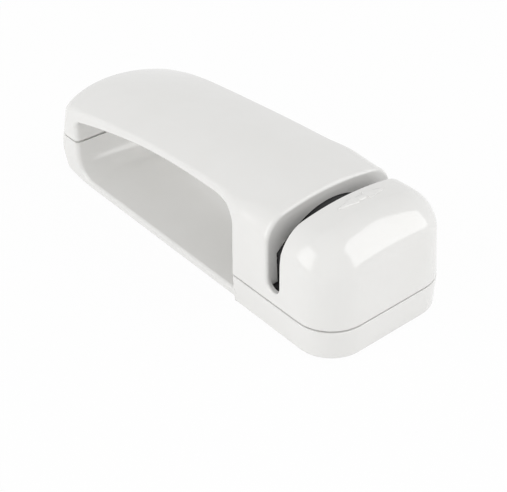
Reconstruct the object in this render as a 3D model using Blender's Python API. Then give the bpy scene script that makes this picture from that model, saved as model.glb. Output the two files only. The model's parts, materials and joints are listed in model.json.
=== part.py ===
"""Handheld bag heat sealer: a looped case with a film slot across its nose.

Metres, +Z up, nose towards +X. The origin is on the table, under the middle of the case.
"""

import math

import bmesh
import bpy
from mathutils import Matrix, Vector

MM = 0.001

# Clearances
GAP = 0.3 * MM  # between faces that seat on each other
CELL_CLEARANCE = 0.4 * MM  # round each cell
DOOR_CLEARANCE = 0.35 * MM  # round the battery door
ROLLER_CLEARANCE = 0.5 * MM  # round the pressure roller

# Case form
LENGTH = 175.1 * MM
HANDLE_WIDTH = 53.6 * MM  # loop, at the seam
CROWN_RADIUS = 98.0 * MM  # arch of the block's top, across the case
STRAP_CROWN_RADIUS = 82.0 * MM  # the same on the strap
STRAP_RADIUS = 910.0 * MM  # arch of the top, along the loop
NOSE_CORNER = 14.0 * MM  # plan radius of the nose
NOSE_ROUND = 11.0 * MM  # top edge at the front of the nose
SHOULDER_ROUND = 7.9 * MM  # top edge along the sides of the block
STRAP_EDGE = 0.9 * MM  # top edge along the strap
REAR_EDGE = 3.0 * MM  # top edge round the rear end
REAR_EDGE_START = 12.0 * MM  # from the rear tip, where that edge begins to tighten
REAR_EDGE_END = 30.0 * MM
STRAP_TAPER = 1.7 * MM  # how much further in the strap's sides stand at their top
TAPER_START = 15.0 * MM  # from the rear tip, where the taper begins
TAPER_END = 85.0 * MM  # where it is full
TAPER_PAST = 4.0 * MM  # how far past the loop's end it fades
FOOT_ROUND = 0.8 * MM  # bottom edge
FOOT_TAPER = 0.6 * MM  # how far the tray draws in below the seam
DRAFT = math.radians(2.5)  # lean of the sides above the seam
SEAM_HEIGHT = 11.4 * MM  # round the block
REAR_SEAM_HEIGHT = 17.8 * MM  # round the rear end
REAR_PLAN = 15.0 * MM  # length of the round rear end in plan, up to the seam
REAR_TOP_PLAN = 12.7 * MM  # the same at the top
REAR_LEAN = 6.4 * MM  # how far the rear tip leans forward from the seam to the top
REAR_TOP_RUN = 49.0 * MM  # length over which the top comes down
REAR_FOOT_RUN = 32.3 * MM  # length over which the foot comes up
REAR_TOP_SHARE = 0.656  # share of an ellipse that the top follows, and the foot
REAR_FOOT_SHARE = 0.908
REAR_TOP_ARCH = 0.395  # how much faster the top falls at its sides
WALL = 2.0 * MM
ROOF = 3.6 * MM
FLOOR = 2.6 * MM

# Finger opening
REAR_BAND = 23.8 * MM  # rear end, from the opening to the tip
ARM_HEIGHT = 3.4 * MM  # lower arm
STRAP_THICKNESS = 6.9 * MM  # top strap on its centre line, at its thinnest
OPENING_ARCH = 330.0 * MM  # radius of the opening's roof
OPENING_PEAK = 24.0 * MM  # from the block back to the top of that arch
OPENING_FRONT_FOOT = 4.5 * MM  # corner radii
OPENING_FRONT_TOP = 5.0 * MM
OPENING_REAR_TOP = 4.5 * MM
OPENING_REAR_FOOT = 8.0 * MM
WIDEN_RUN = 14.0 * MM  # strap's run from loop width to block width
STEP_RUN = 1.2 * MM  # the same on the lower arm, where it is a step

# Film slot
SLOT_WIDTH = 5.0 * MM
SLOT_BOTTOM = 16.0 * MM  # above the table, at the sides
JAW_THICKNESS = 2.4 * MM
CARRIER_THICKNESS = 4.4 * MM
CARRIER_WEB = 2.0 * MM  # carrier beside the lead channel
SLOT_FLOOR_THICKNESS = 2.2 * MM
LEAD_NOTCH_WIDTH = 8.0 * MM  # passes the leads under the jaws
LEAD_NOTCH_HEIGHT = 9.0 * MM

# Heater
STRIP_LENGTH = 41.6 * MM
STRIP_HEIGHT = 3.6 * MM
STRIP_THICKNESS = 0.5 * MM
COVER_LENGTH = 44.0 * MM
COVER_HEIGHT = 10.0 * MM
COVER_THICKNESS = 0.4 * MM
RIVET_RADIUS = 0.9 * MM
RIVET_SPACING = 38.0 * MM
RIVET_TAIL = 1.6 * MM  # bare end, where the lead is crimped
HEATER_RISE = 3.9 * MM  # heater line above the battery holder

# Pressure carriage
ROLLER_RADIUS = 5.0 * MM
ROLLER_LENGTH = 8.0 * MM
ROLLER_EDGE = 0.6 * MM
PIN_RADIUS = 1.0 * MM
CARRIAGE_WALL = 2.4 * MM  # in front of the roller
CARRIAGE_RIM = 2.0 * MM  # outside the guide holes
CARRIAGE_TRAVEL = 1.6 * MM
FLANGE_THICKNESS = 2.0 * MM
FLANGE_RADIUS = 2.6 * MM  # round the pin
HEADROOM = 4.0 * MM  # carriage to roof
POST_RADIUS = 1.2 * MM
POST_SPACING = 20.0 * MM
SPRING_LENGTH = 10.2 * MM
SPRING_RADIUS = 2.0 * MM
SPRING_WIRE = 0.25 * MM  # radius
SPRING_TURNS = 6
SPRING_SEAT = 1.2 * MM  # boss inside the nose
SPRING_SEAT_RIM = 0.9 * MM

# Switch
SWITCH_LENGTH = 6.0 * MM
SWITCH_WIDTH = 10.0 * MM
SWITCH_HEIGHT = 6.4 * MM
PLUNGER_REACH = 3.4 * MM  # carriage to switch
PLUNGER_SIDE = 2.0 * MM
PLUNGER_ENTRY = 1.0 * MM  # plunger inside its bore, at rest
PILLAR_LENGTH = 3.4 * MM
PILLAR_WIDTH = 8.0 * MM
CHEEK = 1.2 * MM  # side walls of the switch cradle
CRADLE_HEIGHT = 2.4 * MM

# Battery
CELL_DIAMETER = 10.5 * MM  # AAA
CELL_LENGTH = 44.5 * MM
NUB_RADIUS = 1.9 * MM
NUB_LENGTH = 0.9 * MM
HOLDER_WALL = 0.9 * MM
CONTACT_SIDE = 8.0 * MM
CONTACT_THICKNESS = 0.4 * MM
CONTACT_TAB = 2.0 * MM  # height of the tab
CONTACT_TAB_REACH = 1.7 * MM  # tab into the lead channel
COIL_LENGTH = 1.8 * MM  # contact springs
COIL_WIRE = 0.22 * MM  # radius
COIL_WIDE = 3.4 * MM
COIL_NARROW = 1.6 * MM
COIL_TURNS = 2
HOLD_DOWN_SPACING = 20.0 * MM
RIB = 1.4 * MM
RIB_DEPTH = 1.6 * MM

# Battery door
DOOR_RECESS = 0.5 * MM  # above the table
DOOR_MARGIN = 1.0 * MM  # sill that carries the holder's ends
STUB_RADIUS = 0.5 * MM
STUB_LENGTH = 1.2 * MM
SCOOP_RADIUS = 4.0 * MM
SCOOP_DEPTH = 1.0 * MM
SCOOP_WIDTH = 14.0 * MM

# Case screws
SCREW_RADIUS = 1.1 * MM
SCREW_LENGTH = 14.0 * MM
HEAD_RADIUS = 2.4 * MM
HEAD_HEIGHT = 1.6 * MM
HEAD_FACE = 0.6  # share of the head's radius that is flat
SCREW_POINT = 0.3  # share of the screw's radius at its tip
BOSS_RADIUS = 3.0 * MM
POST_WALL = 1.2 * MM  # tray post round the screw's head
BOSS_REACH = 6.4 * MM  # from the nose corner's centre
FRONT_SEAT = 3.8 * MM  # head's seat above the table
REAR_SCREW_INSET = 12.6 * MM
REAR_SEAT_DEPTH = 8.0 * MM  # head's seat below the rear seam

# Leads
LEAD_RADIUS = 0.6 * MM
LEAD_HEIGHT = 4.6 * MM  # under the slot
LEAD_SPACING = 5.0 * MM  # at the switch

# Facets
BORE_STEPS = 24
ROD_STEPS = 14
REAR_STEPS = 10  # round rear end, in plan
STRAP_STEPS = 8
WIDEN_STEPS = 3
BLOCK_STEPS = 4
NOSE_STEPS = 6  # each corner of the nose
FOOT_STEPS = 2
EDGE_STEPS = 5  # top edge
HOLLOW_STEPS = 4  # the same inside
ARCH_STEPS = 6  # roof of the opening
CORNER_STEPS = 6
SLOT_STEPS = 8
DOOR_STEPS = 6
FLANGE_STEPS = 10
COIL_STEPS = 10  # each turn
CREASE = math.radians(35)  # edges sharper than this show
OVERLAP = 1.0 * MM  # cutters and joins reach this far past a face

# Battery bay: everything else is set from the cells
holder_inner_width = CELL_LENGTH + COIL_LENGTH + 2 * CONTACT_THICKNESS + 5 * GAP
holder_width = holder_inner_width + 2 * HOLDER_WALL
holder_bay = CELL_DIAMETER + 2 * CELL_CLEARANCE
holder_length = holder_bay + 2 * HOLDER_WALL
cell_low_z = FLOOR + GAP + CELL_DIAMETER / 2
cell_high_z = cell_low_z + CELL_DIAMETER + CELL_CLEARANCE
holder_roof_z = cell_high_z + CELL_DIAMETER / 2 + CELL_CLEARANCE
holder_top_z = holder_roof_z + HOLDER_WALL

# Heights
heater_z = holder_top_z + HEATER_RISE
flange_z = ROLLER_LENGTH / 2 + GAP
carriage_half_height = flange_z + FLANGE_THICKNESS
crown_height = heater_z + carriage_half_height + HEADROOM + ROOF


def lean(z):
    """How far the sides have leaned in at a height above the seam."""
    return max(0.0, z - SEAM_HEIGHT) * math.tan(DRAFT)


block_half = holder_width / 2 + GAP + WALL + lean(holder_top_z)
handle_half = HANDLE_WIDTH / 2

# Stations along the case, from the nose back
nose_x = LENGTH / 2
rear_x = -LENGTH / 2
spring_seat_x = nose_x - WALL - SPRING_SEAT
spring_rear_x = spring_seat_x - GAP - SPRING_LENGTH
carriage_front_x = spring_rear_x - GAP
pin_x = carriage_front_x - CARRIAGE_WALL - ROLLER_CLEARANCE - ROLLER_RADIUS
slot_rear_x = pin_x - ROLLER_RADIUS - GAP - COVER_THICKNESS
slot_front_x = slot_rear_x + SLOT_WIDTH
jaw_rear_x = slot_front_x + GAP
jaw_front_x = jaw_rear_x + JAW_THICKNESS
carriage_rear_x = jaw_front_x + GAP
carrier_front_x = slot_rear_x - GAP
carrier_rear_x = carrier_front_x - CARRIER_THICKNESS
holder_front_x = carrier_rear_x - GAP
holder_rear_x = holder_front_x - holder_length
cell_x = (holder_front_x + holder_rear_x) / 2
block_rear_x = holder_rear_x - GAP - WALL
opening_rear_x = rear_x + REAR_BAND
strap_front_x = block_rear_x - WIDEN_RUN
channel_x = (holder_front_x + carrier_front_x - CARRIER_WEB) / 2
switch_rear_x = carriage_front_x + PLUNGER_REACH


def scene_clear():
    for obj in list(bpy.data.objects):
        bpy.data.objects.remove(obj)


def material(name, colour, roughness, metallic=0.0):
    made = bpy.data.materials.new(name)
    made.use_nodes = True
    shader = made.node_tree.nodes["Principled BSDF"]
    shader.inputs["Base Color"].default_value = (*colour, 1.0)
    shader.inputs["Roughness"].default_value = roughness
    shader.inputs["Metallic"].default_value = metallic
    return made


def loft(name, rings, cyclic=False, capped=True):
    """A closed skin through rings of equal count. End rings that shrink to a line close without caps."""
    mesh = bmesh.new()
    rows = [[mesh.verts.new(point) for point in ring] for ring in rings]
    count = len(rows[0])
    pairs = list(zip(rows, rows[1:]))
    if cyclic:
        pairs.append((rows[-1], rows[0]))
    for low, high in pairs:
        for i in range(count):
            j = (i + 1) % count
            mesh.faces.new((low[i], low[j], high[j], high[i]))
    if capped and not cyclic:
        mesh.faces.new(list(reversed(rows[0])))
        mesh.faces.new(rows[-1])
    bmesh.ops.remove_doubles(mesh, verts=mesh.verts, dist=1e-6)
    bmesh.ops.dissolve_degenerate(mesh, edges=mesh.edges, dist=1e-7)
    bmesh.ops.recalc_face_normals(mesh, faces=mesh.faces)
    data = bpy.data.meshes.new(name)
    mesh.to_mesh(data)
    mesh.free()
    obj = bpy.data.objects.new(name, data)
    bpy.context.scene.collection.objects.link(obj)
    return obj


def on_axis(axis, across, up, along):
    """A point from two cross-section coordinates and a place along an axis."""
    if axis == "X":
        return Vector((along, across, up))
    if axis == "Y":
        return Vector((across, along, up))
    return Vector((across, up, along))


def prism(name, outline, axis, low, high):
    return loft(name, [[on_axis(axis, a, b, place) for a, b in outline] for place in (low, high)])


def box(name, x, y, z):
    outline = [(x[0], y[0]), (x[1], y[0]), (x[1], y[1]), (x[0], y[1])]
    return prism(name, outline, "Z", *z)


def turned(name, profile, axis, centre, segments, cyclic=False):
    """A turned piece. The profile is (radius, place along the axis)."""
    rings = []
    for radius, along in profile:
        angles = [math.tau * i / segments for i in range(segments)]
        rings.append(
            [
                on_axis(axis, centre[0] + radius * math.cos(a), centre[1] + radius * math.sin(a), along)
                for a in angles
            ]
        )
    return loft(name, rings, cyclic)


def rod(name, axis, centre, radius, low, high, segments=ROD_STEPS):
    return turned(name, [(radius, low), (radius, high)], axis, centre, segments)


def boolean(target, tool, operation, solver):
    step = target.modifiers.new(operation, "BOOLEAN")
    step.operation = operation
    step.solver = solver
    step.object = tool
    graph = bpy.context.evaluated_depsgraph_get()
    mesh = bpy.data.meshes.new_from_object(target.evaluated_get(graph))
    target.modifiers.clear()
    target.data = mesh
    bpy.data.objects.remove(tool)


def cut(target, *tools, solver="EXACT"):
    for tool in tools:
        boolean(target, tool, "DIFFERENCE", solver)


def add(target, *tools, solver="EXACT"):
    for tool in tools:
        boolean(target, tool, "UNION", solver)


def keep(target, tool):
    boolean(target, tool, "INTERSECT", "EXACT")


def finish(obj, look, origin=None):
    """Sets the look and shading, and moves the origin to a joint's axis where one is given."""
    obj.data.materials.clear()
    obj.data.materials.append(look)
    if obj.type == "MESH":
        obj.data.shade_smooth()
        obj.data.set_sharp_from_angle(angle=CREASE)
    if origin is not None:
        obj.data.transform(Matrix.Translation(-Vector(origin)))
        obj.location = origin
    return obj


def tube(name, points, radius, look):
    """A round wire through points, with flat ends."""
    curve = bpy.data.curves.new(name, "CURVE")
    curve.dimensions = "3D"
    curve.bevel_depth = radius
    curve.bevel_resolution = 1
    curve.use_fill_caps = True
    spline = curve.splines.new("POLY")
    spline.points.add(len(points) - 1)
    for target, point in zip(spline.points, points):
        target.co = (*point, 1.0)
    obj = bpy.data.objects.new(name, curve)
    bpy.context.scene.collection.objects.link(obj)
    return finish(obj, look)


def rounded(corners):
    """A closed outline with each corner (across, up, radius) turned into an arc."""
    outline = []
    count = len(corners)
    for i, (across, up, radius) in enumerate(corners):
        corner = Vector((across, up))
        back = Vector(corners[i - 1][:2]) - corner
        ahead = Vector(corners[(i + 1) % count][:2]) - corner
        if radius == 0:
            outline.append((across, up))
            continue
        half = back.angle(ahead) / 2
        centre = corner + (back.normalized() + ahead.normalized()).normalized() * radius / math.sin(half)
        first = corner + back.normalized() * radius / math.tan(half) - centre
        turn = first.angle_signed(corner + ahead.normalized() * radius / math.tan(half) - centre)
        for step in range(CORNER_STEPS + 1):
            arm = first.copy()
            arm.rotate(Matrix.Rotation(-turn * step / CORNER_STEPS, 2))
            outline.append(tuple(centre + arm))
    return outline


def smooth_step(value):
    value = min(1.0, max(0.0, value))
    return value * value * (3 - 2 * value)


# Outer form of the case


def over_block(x):
    """0 on the strap, growing to 1 at the slot."""
    return smooth_step((x - strap_front_x) / (slot_rear_x - strap_front_x))


def crown_line(x):
    back = max(0.0, block_rear_x - x)
    return crown_height - back * back / (2 * STRAP_RADIUS)


def rear_fall(x, run, whole, arch=0.0):
    """Height left at x, where the last run of the case falls off along a share of an ellipse."""
    share = whole * min(1.0, max(0.0, (rear_x + run - x) / run))
    return math.sqrt(1 - share * share * (1 + arch))


def top_z(x, y):
    radius = STRAP_CROWN_RADIUS + (CROWN_RADIUS - STRAP_CROWN_RADIUS) * over_block(x)
    arched = crown_line(x) - y * y / (2 * radius)
    arch = REAR_TOP_ARCH * (y / handle_half) ** 2
    return REAR_SEAM_HEIGHT + (arched - REAR_SEAM_HEIGHT) * rear_fall(x, REAR_TOP_RUN, REAR_TOP_SHARE, arch)


def foot_z(x):
    return REAR_SEAM_HEIGHT * (1 - rear_fall(x, REAR_FOOT_RUN, REAR_FOOT_SHARE))


def placed(x, y, level):
    """A point at a share of the local height, so that levels follow the crown and the rear end."""
    low = foot_z(x)
    return Vector((x, y, low + level / crown_height * (top_z(x, y) - low)))


def nose_half():
    """Near half of the nose's plan, from the side to the middle of the front."""
    centre = Vector((nose_x - NOSE_CORNER, NOSE_CORNER - block_half))
    angles = [-math.pi / 2, *even(-math.pi / 2, 0, NOSE_STEPS)[1:], 0.0]
    arc = [(centre.x + NOSE_CORNER * math.cos(a), centre.y + NOSE_CORNER * math.sin(a)) for a in angles]
    return arc + [(nose_x, centre.y / 2), (nose_x, 0.0)]


def even(start, end, steps):
    return [start + (end - start) * i / steps for i in range(steps)]


def case_half(widen_run, widen_steps, tip_x, rear_length):
    """Near half of the whole case's plan, from the tip of a rear end of that length to the middle of the nose."""
    bend_x = tip_x + rear_length
    narrow_x = block_rear_x - widen_run
    angles = even(math.pi, 1.5 * math.pi, REAR_STEPS)
    half = [(bend_x + rear_length * math.cos(a), handle_half * math.sin(a)) for a in angles]
    half += [(x, -handle_half) for x in even(bend_x, narrow_x, STRAP_STEPS)]
    for x in even(narrow_x, block_rear_x, widen_steps):
        wide = smooth_step((x - narrow_x) / widen_run)
        half.append((x, -handle_half - (block_half - handle_half) * wide))
    half += [(x, -block_half) for x in even(block_rear_x, nose_x - NOSE_CORNER, BLOCK_STEPS)]
    return half + nose_half()


def block_half_plan():
    """Near half of the block alone, run on behind with square corners."""
    behind = block_rear_x - NOSE_CORNER
    half = [(behind, 0.0), (behind, -block_half / 2)]
    half += [(x, -block_half) for x in even(behind, nose_x - NOSE_CORNER, BLOCK_STEPS)]
    return half + nose_half()


def closed_plan(half):
    return half + [(x, -y) for x, y in reversed(half[1:-1])]


def case_plans(widen_run, widen_steps):
    """The case's plan at the seam and at the top, where the rear end has leaned forward."""
    low = case_half(widen_run, widen_steps, rear_x, REAR_PLAN)
    high = case_half(widen_run, widen_steps, rear_x + REAR_LEAN, REAR_TOP_PLAN)
    return closed_plan(low), closed_plan(high)


def edge_round(x):
    """Radius of the top edge: tight along the strap, larger at the rear, over the block and over the nose."""
    at_rear = 1 - smooth_step((x - rear_x - REAR_EDGE_START) / (REAR_EDGE_END - REAR_EDGE_START))
    over_nose = smooth_step((x - slot_rear_x) / (nose_x - slot_rear_x))
    radius = STRAP_EDGE + (REAR_EDGE - STRAP_EDGE) * at_rear + (SHOULDER_ROUND - STRAP_EDGE) * over_block(x)
    return radius + (NOSE_ROUND - SHOULDER_ROUND) * over_nose


def strap_taper(x):
    grown = smooth_step((x - rear_x - TAPER_START) / (TAPER_END - TAPER_START))
    return STRAP_TAPER * grown * (1 - smooth_step((x - strap_front_x - TAPER_PAST) / WIDEN_RUN))


def outer_levels(x):
    """(inset, height) pairs from the foot up to the crown."""
    levels = []
    for angle in even(0, math.pi / 2, FOOT_STEPS):
        inset = FOOT_TAPER + FOOT_ROUND * (1 - math.sin(angle))
        levels.append((inset, FOOT_ROUND * (1 - math.cos(angle))))
    radius = edge_round(x)
    shoulder = crown_height - radius
    wall_top = lean(shoulder) + strap_taper(x)
    rear_share = (REAR_SEAM_HEIGHT - SEAM_HEIGHT) / (shoulder - SEAM_HEIGHT)
    levels += [(FOOT_TAPER, FOOT_ROUND), (0.0, SEAM_HEIGHT), (wall_top * rear_share, REAR_SEAM_HEIGHT)]
    for i in range(EDGE_STEPS + 1):
        angle = math.pi / 2 * i / EDGE_STEPS
        inset = wall_top + radius * (1 - math.cos(angle))
        levels.append((inset, shoulder + radius * math.sin(angle)))
    return levels


def inner_levels(x, spare):
    """The same for the hollow inside the block, drawn in further by a spare."""
    inset = WALL + spare
    top = crown_height - ROOF - spare
    radius = max(edge_round(x) - inset, GAP)
    shoulder = top - radius
    levels = [(inset, 0.0), (inset, SEAM_HEIGHT)]
    for i in range(HOLLOW_STEPS + 1):
        angle = math.pi / 2 * i / HOLLOW_STEPS
        drawn = inset + lean(shoulder) + radius * (1 - math.cos(angle))
        levels.append((drawn, shoulder + radius * math.sin(angle)))
    return levels


def pillow(name, plan, top_plan, levels_at, cap_shares=(0.4, 0.75, 1.0)):
    """A body lofted upwards through insets of a plan, which turns into another above the rear seam.

    It is closed along its middle line at both ends.
    """
    count = len(plan)
    rise = crown_height - REAR_SEAM_HEIGHT
    middle_low = plan[0][0] + REAR_PLAN
    middle_high = nose_x - NOSE_CORNER
    columns = []
    for i, (x, y) in enumerate(plan):
        tangent = Vector(plan[(i + 1) % count]) - Vector(plan[i - 1])
        outward = Vector((tangent.y, -tangent.x)).normalized()
        column = []
        for inset, level in levels_at(x):
            share = max(0.0, level - REAR_SEAM_HEIGHT) / rise
            column.append((Vector((x, y)).lerp(Vector(top_plan[i]), share) - outward * inset, level))
        core = Vector((min(max(x, middle_low), middle_high), 0.0))
        foot = [(column[0][0].lerp(core, share), column[0][1]) for share in reversed(cap_shares)]
        crown = [(column[-1][0].lerp(core, share), column[-1][1]) for share in cap_shares]
        columns.append([placed(*point, level) for point, level in foot + column + crown])
    return loft(name, [list(ring) for ring in zip(*columns)], capped=False)


def cavity(name, spare=0.0):
    """The hollow of the block, or what fits in it with a spare all round, up to the wall behind the cells."""
    plan = closed_plan(block_half_plan())
    body = pillow(name, plan, plan, lambda x: inner_levels(x, spare))
    wide = (-block_half, block_half)
    keep(body, box("behind", (block_rear_x + WALL, nose_x), wide, (FLOOR + spare, crown_height)))
    return body


def opening():
    """Finger opening, right through the case."""
    peak_x = block_rear_x - OPENING_PEAK
    peak_z = crown_height - STRAP_THICKNESS

    def roof(x):
        return peak_z - (x - peak_x) ** 2 / (2 * OPENING_ARCH)

    front_x = block_rear_x - 2 * OPENING_FRONT_TOP
    back_x = opening_rear_x + 2 * OPENING_REAR_TOP
    corners = [
        (block_rear_x, ARM_HEIGHT, OPENING_FRONT_FOOT),
        (block_rear_x, roof(block_rear_x), OPENING_FRONT_TOP),
        *[(x, roof(x), 0) for x in even(front_x, back_x, ARCH_STEPS)],
        (back_x, roof(back_x), 0),
        (opening_rear_x, roof(opening_rear_x), OPENING_REAR_TOP),
        (opening_rear_x, ARM_HEIGHT, OPENING_REAR_FOOT),
    ]
    reach = max(block_half, handle_half) + OVERLAP
    return prism("opening", rounded(corners), "Y", -reach, reach)


def slot():
    """Film slot with a round bottom, across the top and both sides of the block."""
    radius = SLOT_WIDTH / 2
    middle = slot_rear_x + radius
    low = SLOT_BOTTOM + radius
    angles = [math.pi + math.pi * i / SLOT_STEPS for i in range(SLOT_STEPS + 1)]
    outline = [(middle + radius * math.cos(a), low + radius * math.sin(a)) for a in angles]
    outline += [(slot_front_x, crown_height + OVERLAP), (slot_rear_x, crown_height + OVERLAP)]
    return prism("slot", outline, "Y", -block_half - OVERLAP, block_half + OVERLAP)


def beyond_seam(above):
    """What lies above, or below, the seam, which is higher round the rear end than round the block."""
    middle = (block_rear_x + opening_rear_x) / 2
    shift = -GAP / 2 if above else GAP / 2
    rear = REAR_SEAM_HEIGHT + shift
    front = SEAM_HEIGHT + shift
    far = LENGTH if above else -LENGTH
    outline = [(-LENGTH, far), (-LENGTH, rear), (middle, rear), (middle, front), (LENGTH, front), (LENGTH, far)]
    return prism("seam", outline, "Y", -LENGTH, LENGTH)


def nose_screws():
    """Axes of the two screws in the nose's corners."""
    reach = BOSS_REACH * math.sqrt(0.5)
    y = block_half - NOSE_CORNER + reach
    return [(nose_x - NOSE_CORNER + reach, side * y) for side in (-1, 1)]


rear_screw = (rear_x + REAR_SCREW_INSET, 0.0)
rear_seat_z = REAR_SEAM_HEIGHT - REAR_SEAT_DEPTH
hole_radius = SCREW_RADIUS + GAP


def screw_seats():
    return [(*axis, FRONT_SEAT) for axis in nose_screws()] + [(*rear_screw, rear_seat_z)]


# Case


def make_upper_shell(look):
    hollow = cavity("hollow")
    far = crown_height + OVERLAP
    for axis in nose_screws():
        cut(hollow, rod("boss", "Z", axis, BOSS_RADIUS, 0, far, BORE_STEPS), solver="MANIFOLD")
    for side in (-1, 1):
        seat = (side * POST_SPACING / 2, heater_z)
        seat_radius = SPRING_RADIUS + SPRING_WIRE + SPRING_SEAT_RIM
        seat_boss = rod("seat", "X", seat, seat_radius, spring_seat_x, nose_x, BORE_STEPS)
        rib_y = side * HOLD_DOWN_SPACING / 2
        rib_x = (holder_rear_x + HOLDER_WALL, holder_front_x - HOLDER_WALL)
        hold_down = box("hold_down", rib_x, (rib_y - RIB / 2, rib_y + RIB / 2), (holder_top_z + GAP, far))
        inner = block_half - WALL - RIB_DEPTH - lean(heater_z)
        stop_y = sorted((side * inner, side * block_half))
        stop_x = (jaw_front_x + GAP, jaw_front_x + GAP + RIB)
        jaw_stop = box("jaw_stop", stop_x, stop_y, (0, heater_z))
        cut(hollow, seat_boss, hold_down, jaw_stop, solver="MANIFOLD")
    shell = pillow("upper_shell", *case_plans(WIDEN_RUN, WIDEN_STEPS), outer_levels)
    cut(shell, hollow, opening(), slot(), beyond_seam(above=False), solver="MANIFOLD")
    for x, y, seat in screw_seats():
        pilot = rod("pilot", "Z", (x, y), hole_radius, 0, seat + SCREW_LENGTH + OVERLAP)
        cut(shell, pilot, solver="MANIFOLD")
    return finish(shell, look)


def door_bay():
    """Edges of the door's opening in the tray: x, y."""
    half = holder_inner_width / 2 - DOOR_MARGIN
    return (holder_rear_x + HOLDER_WALL, holder_front_x - HOLDER_WALL), (-half, half)


door_thickness = FLOOR - GAP - DOOR_RECESS
door_axis_x = door_bay()[0][0] + DOOR_CLEARANCE + door_thickness / 2
door_axis_z = DOOR_RECESS + door_thickness / 2


def make_base_shell(look):
    tray_top = SEAM_HEIGHT + OVERLAP
    tray = box("tray", (block_rear_x + WALL, nose_x), (-block_half, block_half), (FLOOR, tray_top))
    plan = closed_plan(block_half_plan())
    keep(tray, pillow("tray_form", plan, plan, lambda x: inner_levels(x, 0.0)))
    for axis in nose_screws():
        post = HEAD_RADIUS + GAP + POST_WALL
        cut(tray, rod("post", "Z", axis, post, 0, tray_top + OVERLAP, BORE_STEPS))
    shell = pillow("base_shell", *case_plans(STEP_RUN, 1), outer_levels)
    cut(shell, tray, opening(), beyond_seam(above=True), solver="MANIFOLD")
    for x, y, seat in screw_seats():
        counterbore = rod("counterbore", "Z", (x, y), HEAD_RADIUS + GAP, -OVERLAP, seat - GAP, BORE_STEPS)
        screw_hole = rod("screw_hole", "Z", (x, y), hole_radius, 0, crown_height)
        cut(shell, counterbore, screw_hole, solver="MANIFOLD")
    bay_x, bay_y = door_bay()
    bay = box("door_bay", bay_x, bay_y, (-OVERLAP, FLOOR + OVERLAP))
    stub_y = bay_y[1] + STUB_LENGTH + GAP
    stub_bore = rod("stub_bore", "Y", (door_axis_x, door_axis_z), STUB_RADIUS + GAP, -stub_y, stub_y)
    scoop_axis = (bay_x[1] + SCOOP_DEPTH, SCOOP_DEPTH - SCOOP_RADIUS)
    scoop = rod("scoop", "Y", scoop_axis, SCOOP_RADIUS, -SCOOP_WIDTH / 2, SCOOP_WIDTH / 2, BORE_STEPS)
    cut(shell, bay, stub_bore, scoop, solver="MANIFOLD")
    add(shell, *switch_cradle(), solver="MANIFOLD")
    return finish(shell, look)


def switch_cradle():
    """Pillar that stands on the tray's floor and holds the switch between two cheeks."""
    x = (switch_rear_x + CHEEK / 2, switch_rear_x + CHEEK / 2 + PILLAR_LENGTH)
    top = heater_z - SWITCH_HEIGHT / 2 - GAP
    head = SWITCH_WIDTH / 2 + GAP + CHEEK
    pillar = box("pillar", x, (-PILLAR_WIDTH / 2, PILLAR_WIDTH / 2), (FLOOR - OVERLAP, top - OVERLAP))
    outline = [
        (-head, top - CRADLE_HEIGHT),
        (head, top - CRADLE_HEIGHT),
        (head, heater_z),
        (head - CHEEK, heater_z),
        (head - CHEEK, top),
        (CHEEK - head, top),
        (CHEEK - head, heater_z),
        (-head, heater_z),
    ]
    return [pillar, prism("cradle", outline, "X", *x)]


def make_battery_door(look):
    radius = door_thickness / 2
    bay_x, bay_y = door_bay()
    angles = [math.pi / 2 + math.pi * i / DOOR_STEPS for i in range(DOOR_STEPS + 1)]
    outline = [(door_axis_x + radius * math.cos(a), door_axis_z + radius * math.sin(a)) for a in angles]
    front = bay_x[1] - DOOR_CLEARANCE
    outline += [(front, DOOR_RECESS), (front, DOOR_RECESS + door_thickness)]
    half = bay_y[1] - DOOR_CLEARANCE
    door = prism("battery_door", outline, "Y", -half, half)
    reach = half + STUB_LENGTH
    add(door, rod("stub", "Y", (door_axis_x, door_axis_z), STUB_RADIUS, -reach, reach))
    return finish(door, look, (door_axis_x, 0.0, door_axis_z))


def make_screws(look):
    names = ("near_nose_screw", "far_nose_screw", "rear_screw")
    for name, (x, y, seat) in zip(names, screw_seats()):
        low = seat - 2 * GAP - HEAD_HEIGHT
        profile = [
            (HEAD_RADIUS * HEAD_FACE, low),
            (HEAD_RADIUS, low + HEAD_HEIGHT / 2),
            (HEAD_RADIUS, low + HEAD_HEIGHT),
            (SCREW_RADIUS, low + HEAD_HEIGHT),
            (SCREW_RADIUS, low + HEAD_HEIGHT + SCREW_LENGTH - SCREW_RADIUS),
            (SCREW_RADIUS * SCREW_POINT, low + HEAD_HEIGHT + SCREW_LENGTH),
        ]
        finish(turned(name, profile, "Z", (x, y), ROD_STEPS), look)


# Slot and heater


def slab(name, x, low):
    """A plate across the hollow, seated all round inside the walls."""
    plate = cavity(name, GAP)
    keep(plate, box("span", x, (-block_half, block_half), (low, crown_height)))
    return plate


def lead_notches(x):
    """Ways for the leads under the jaws, one on each side."""
    inner = RIVET_SPACING / 2 - LEAD_NOTCH_WIDTH / 2
    outer = RIVET_SPACING / 2 + LEAD_NOTCH_WIDTH / 2
    return [box("notch", x, sorted((s * inner, s * outer)), (0, LEAD_NOTCH_HEIGHT)) for s in (-1, 1)]


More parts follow.
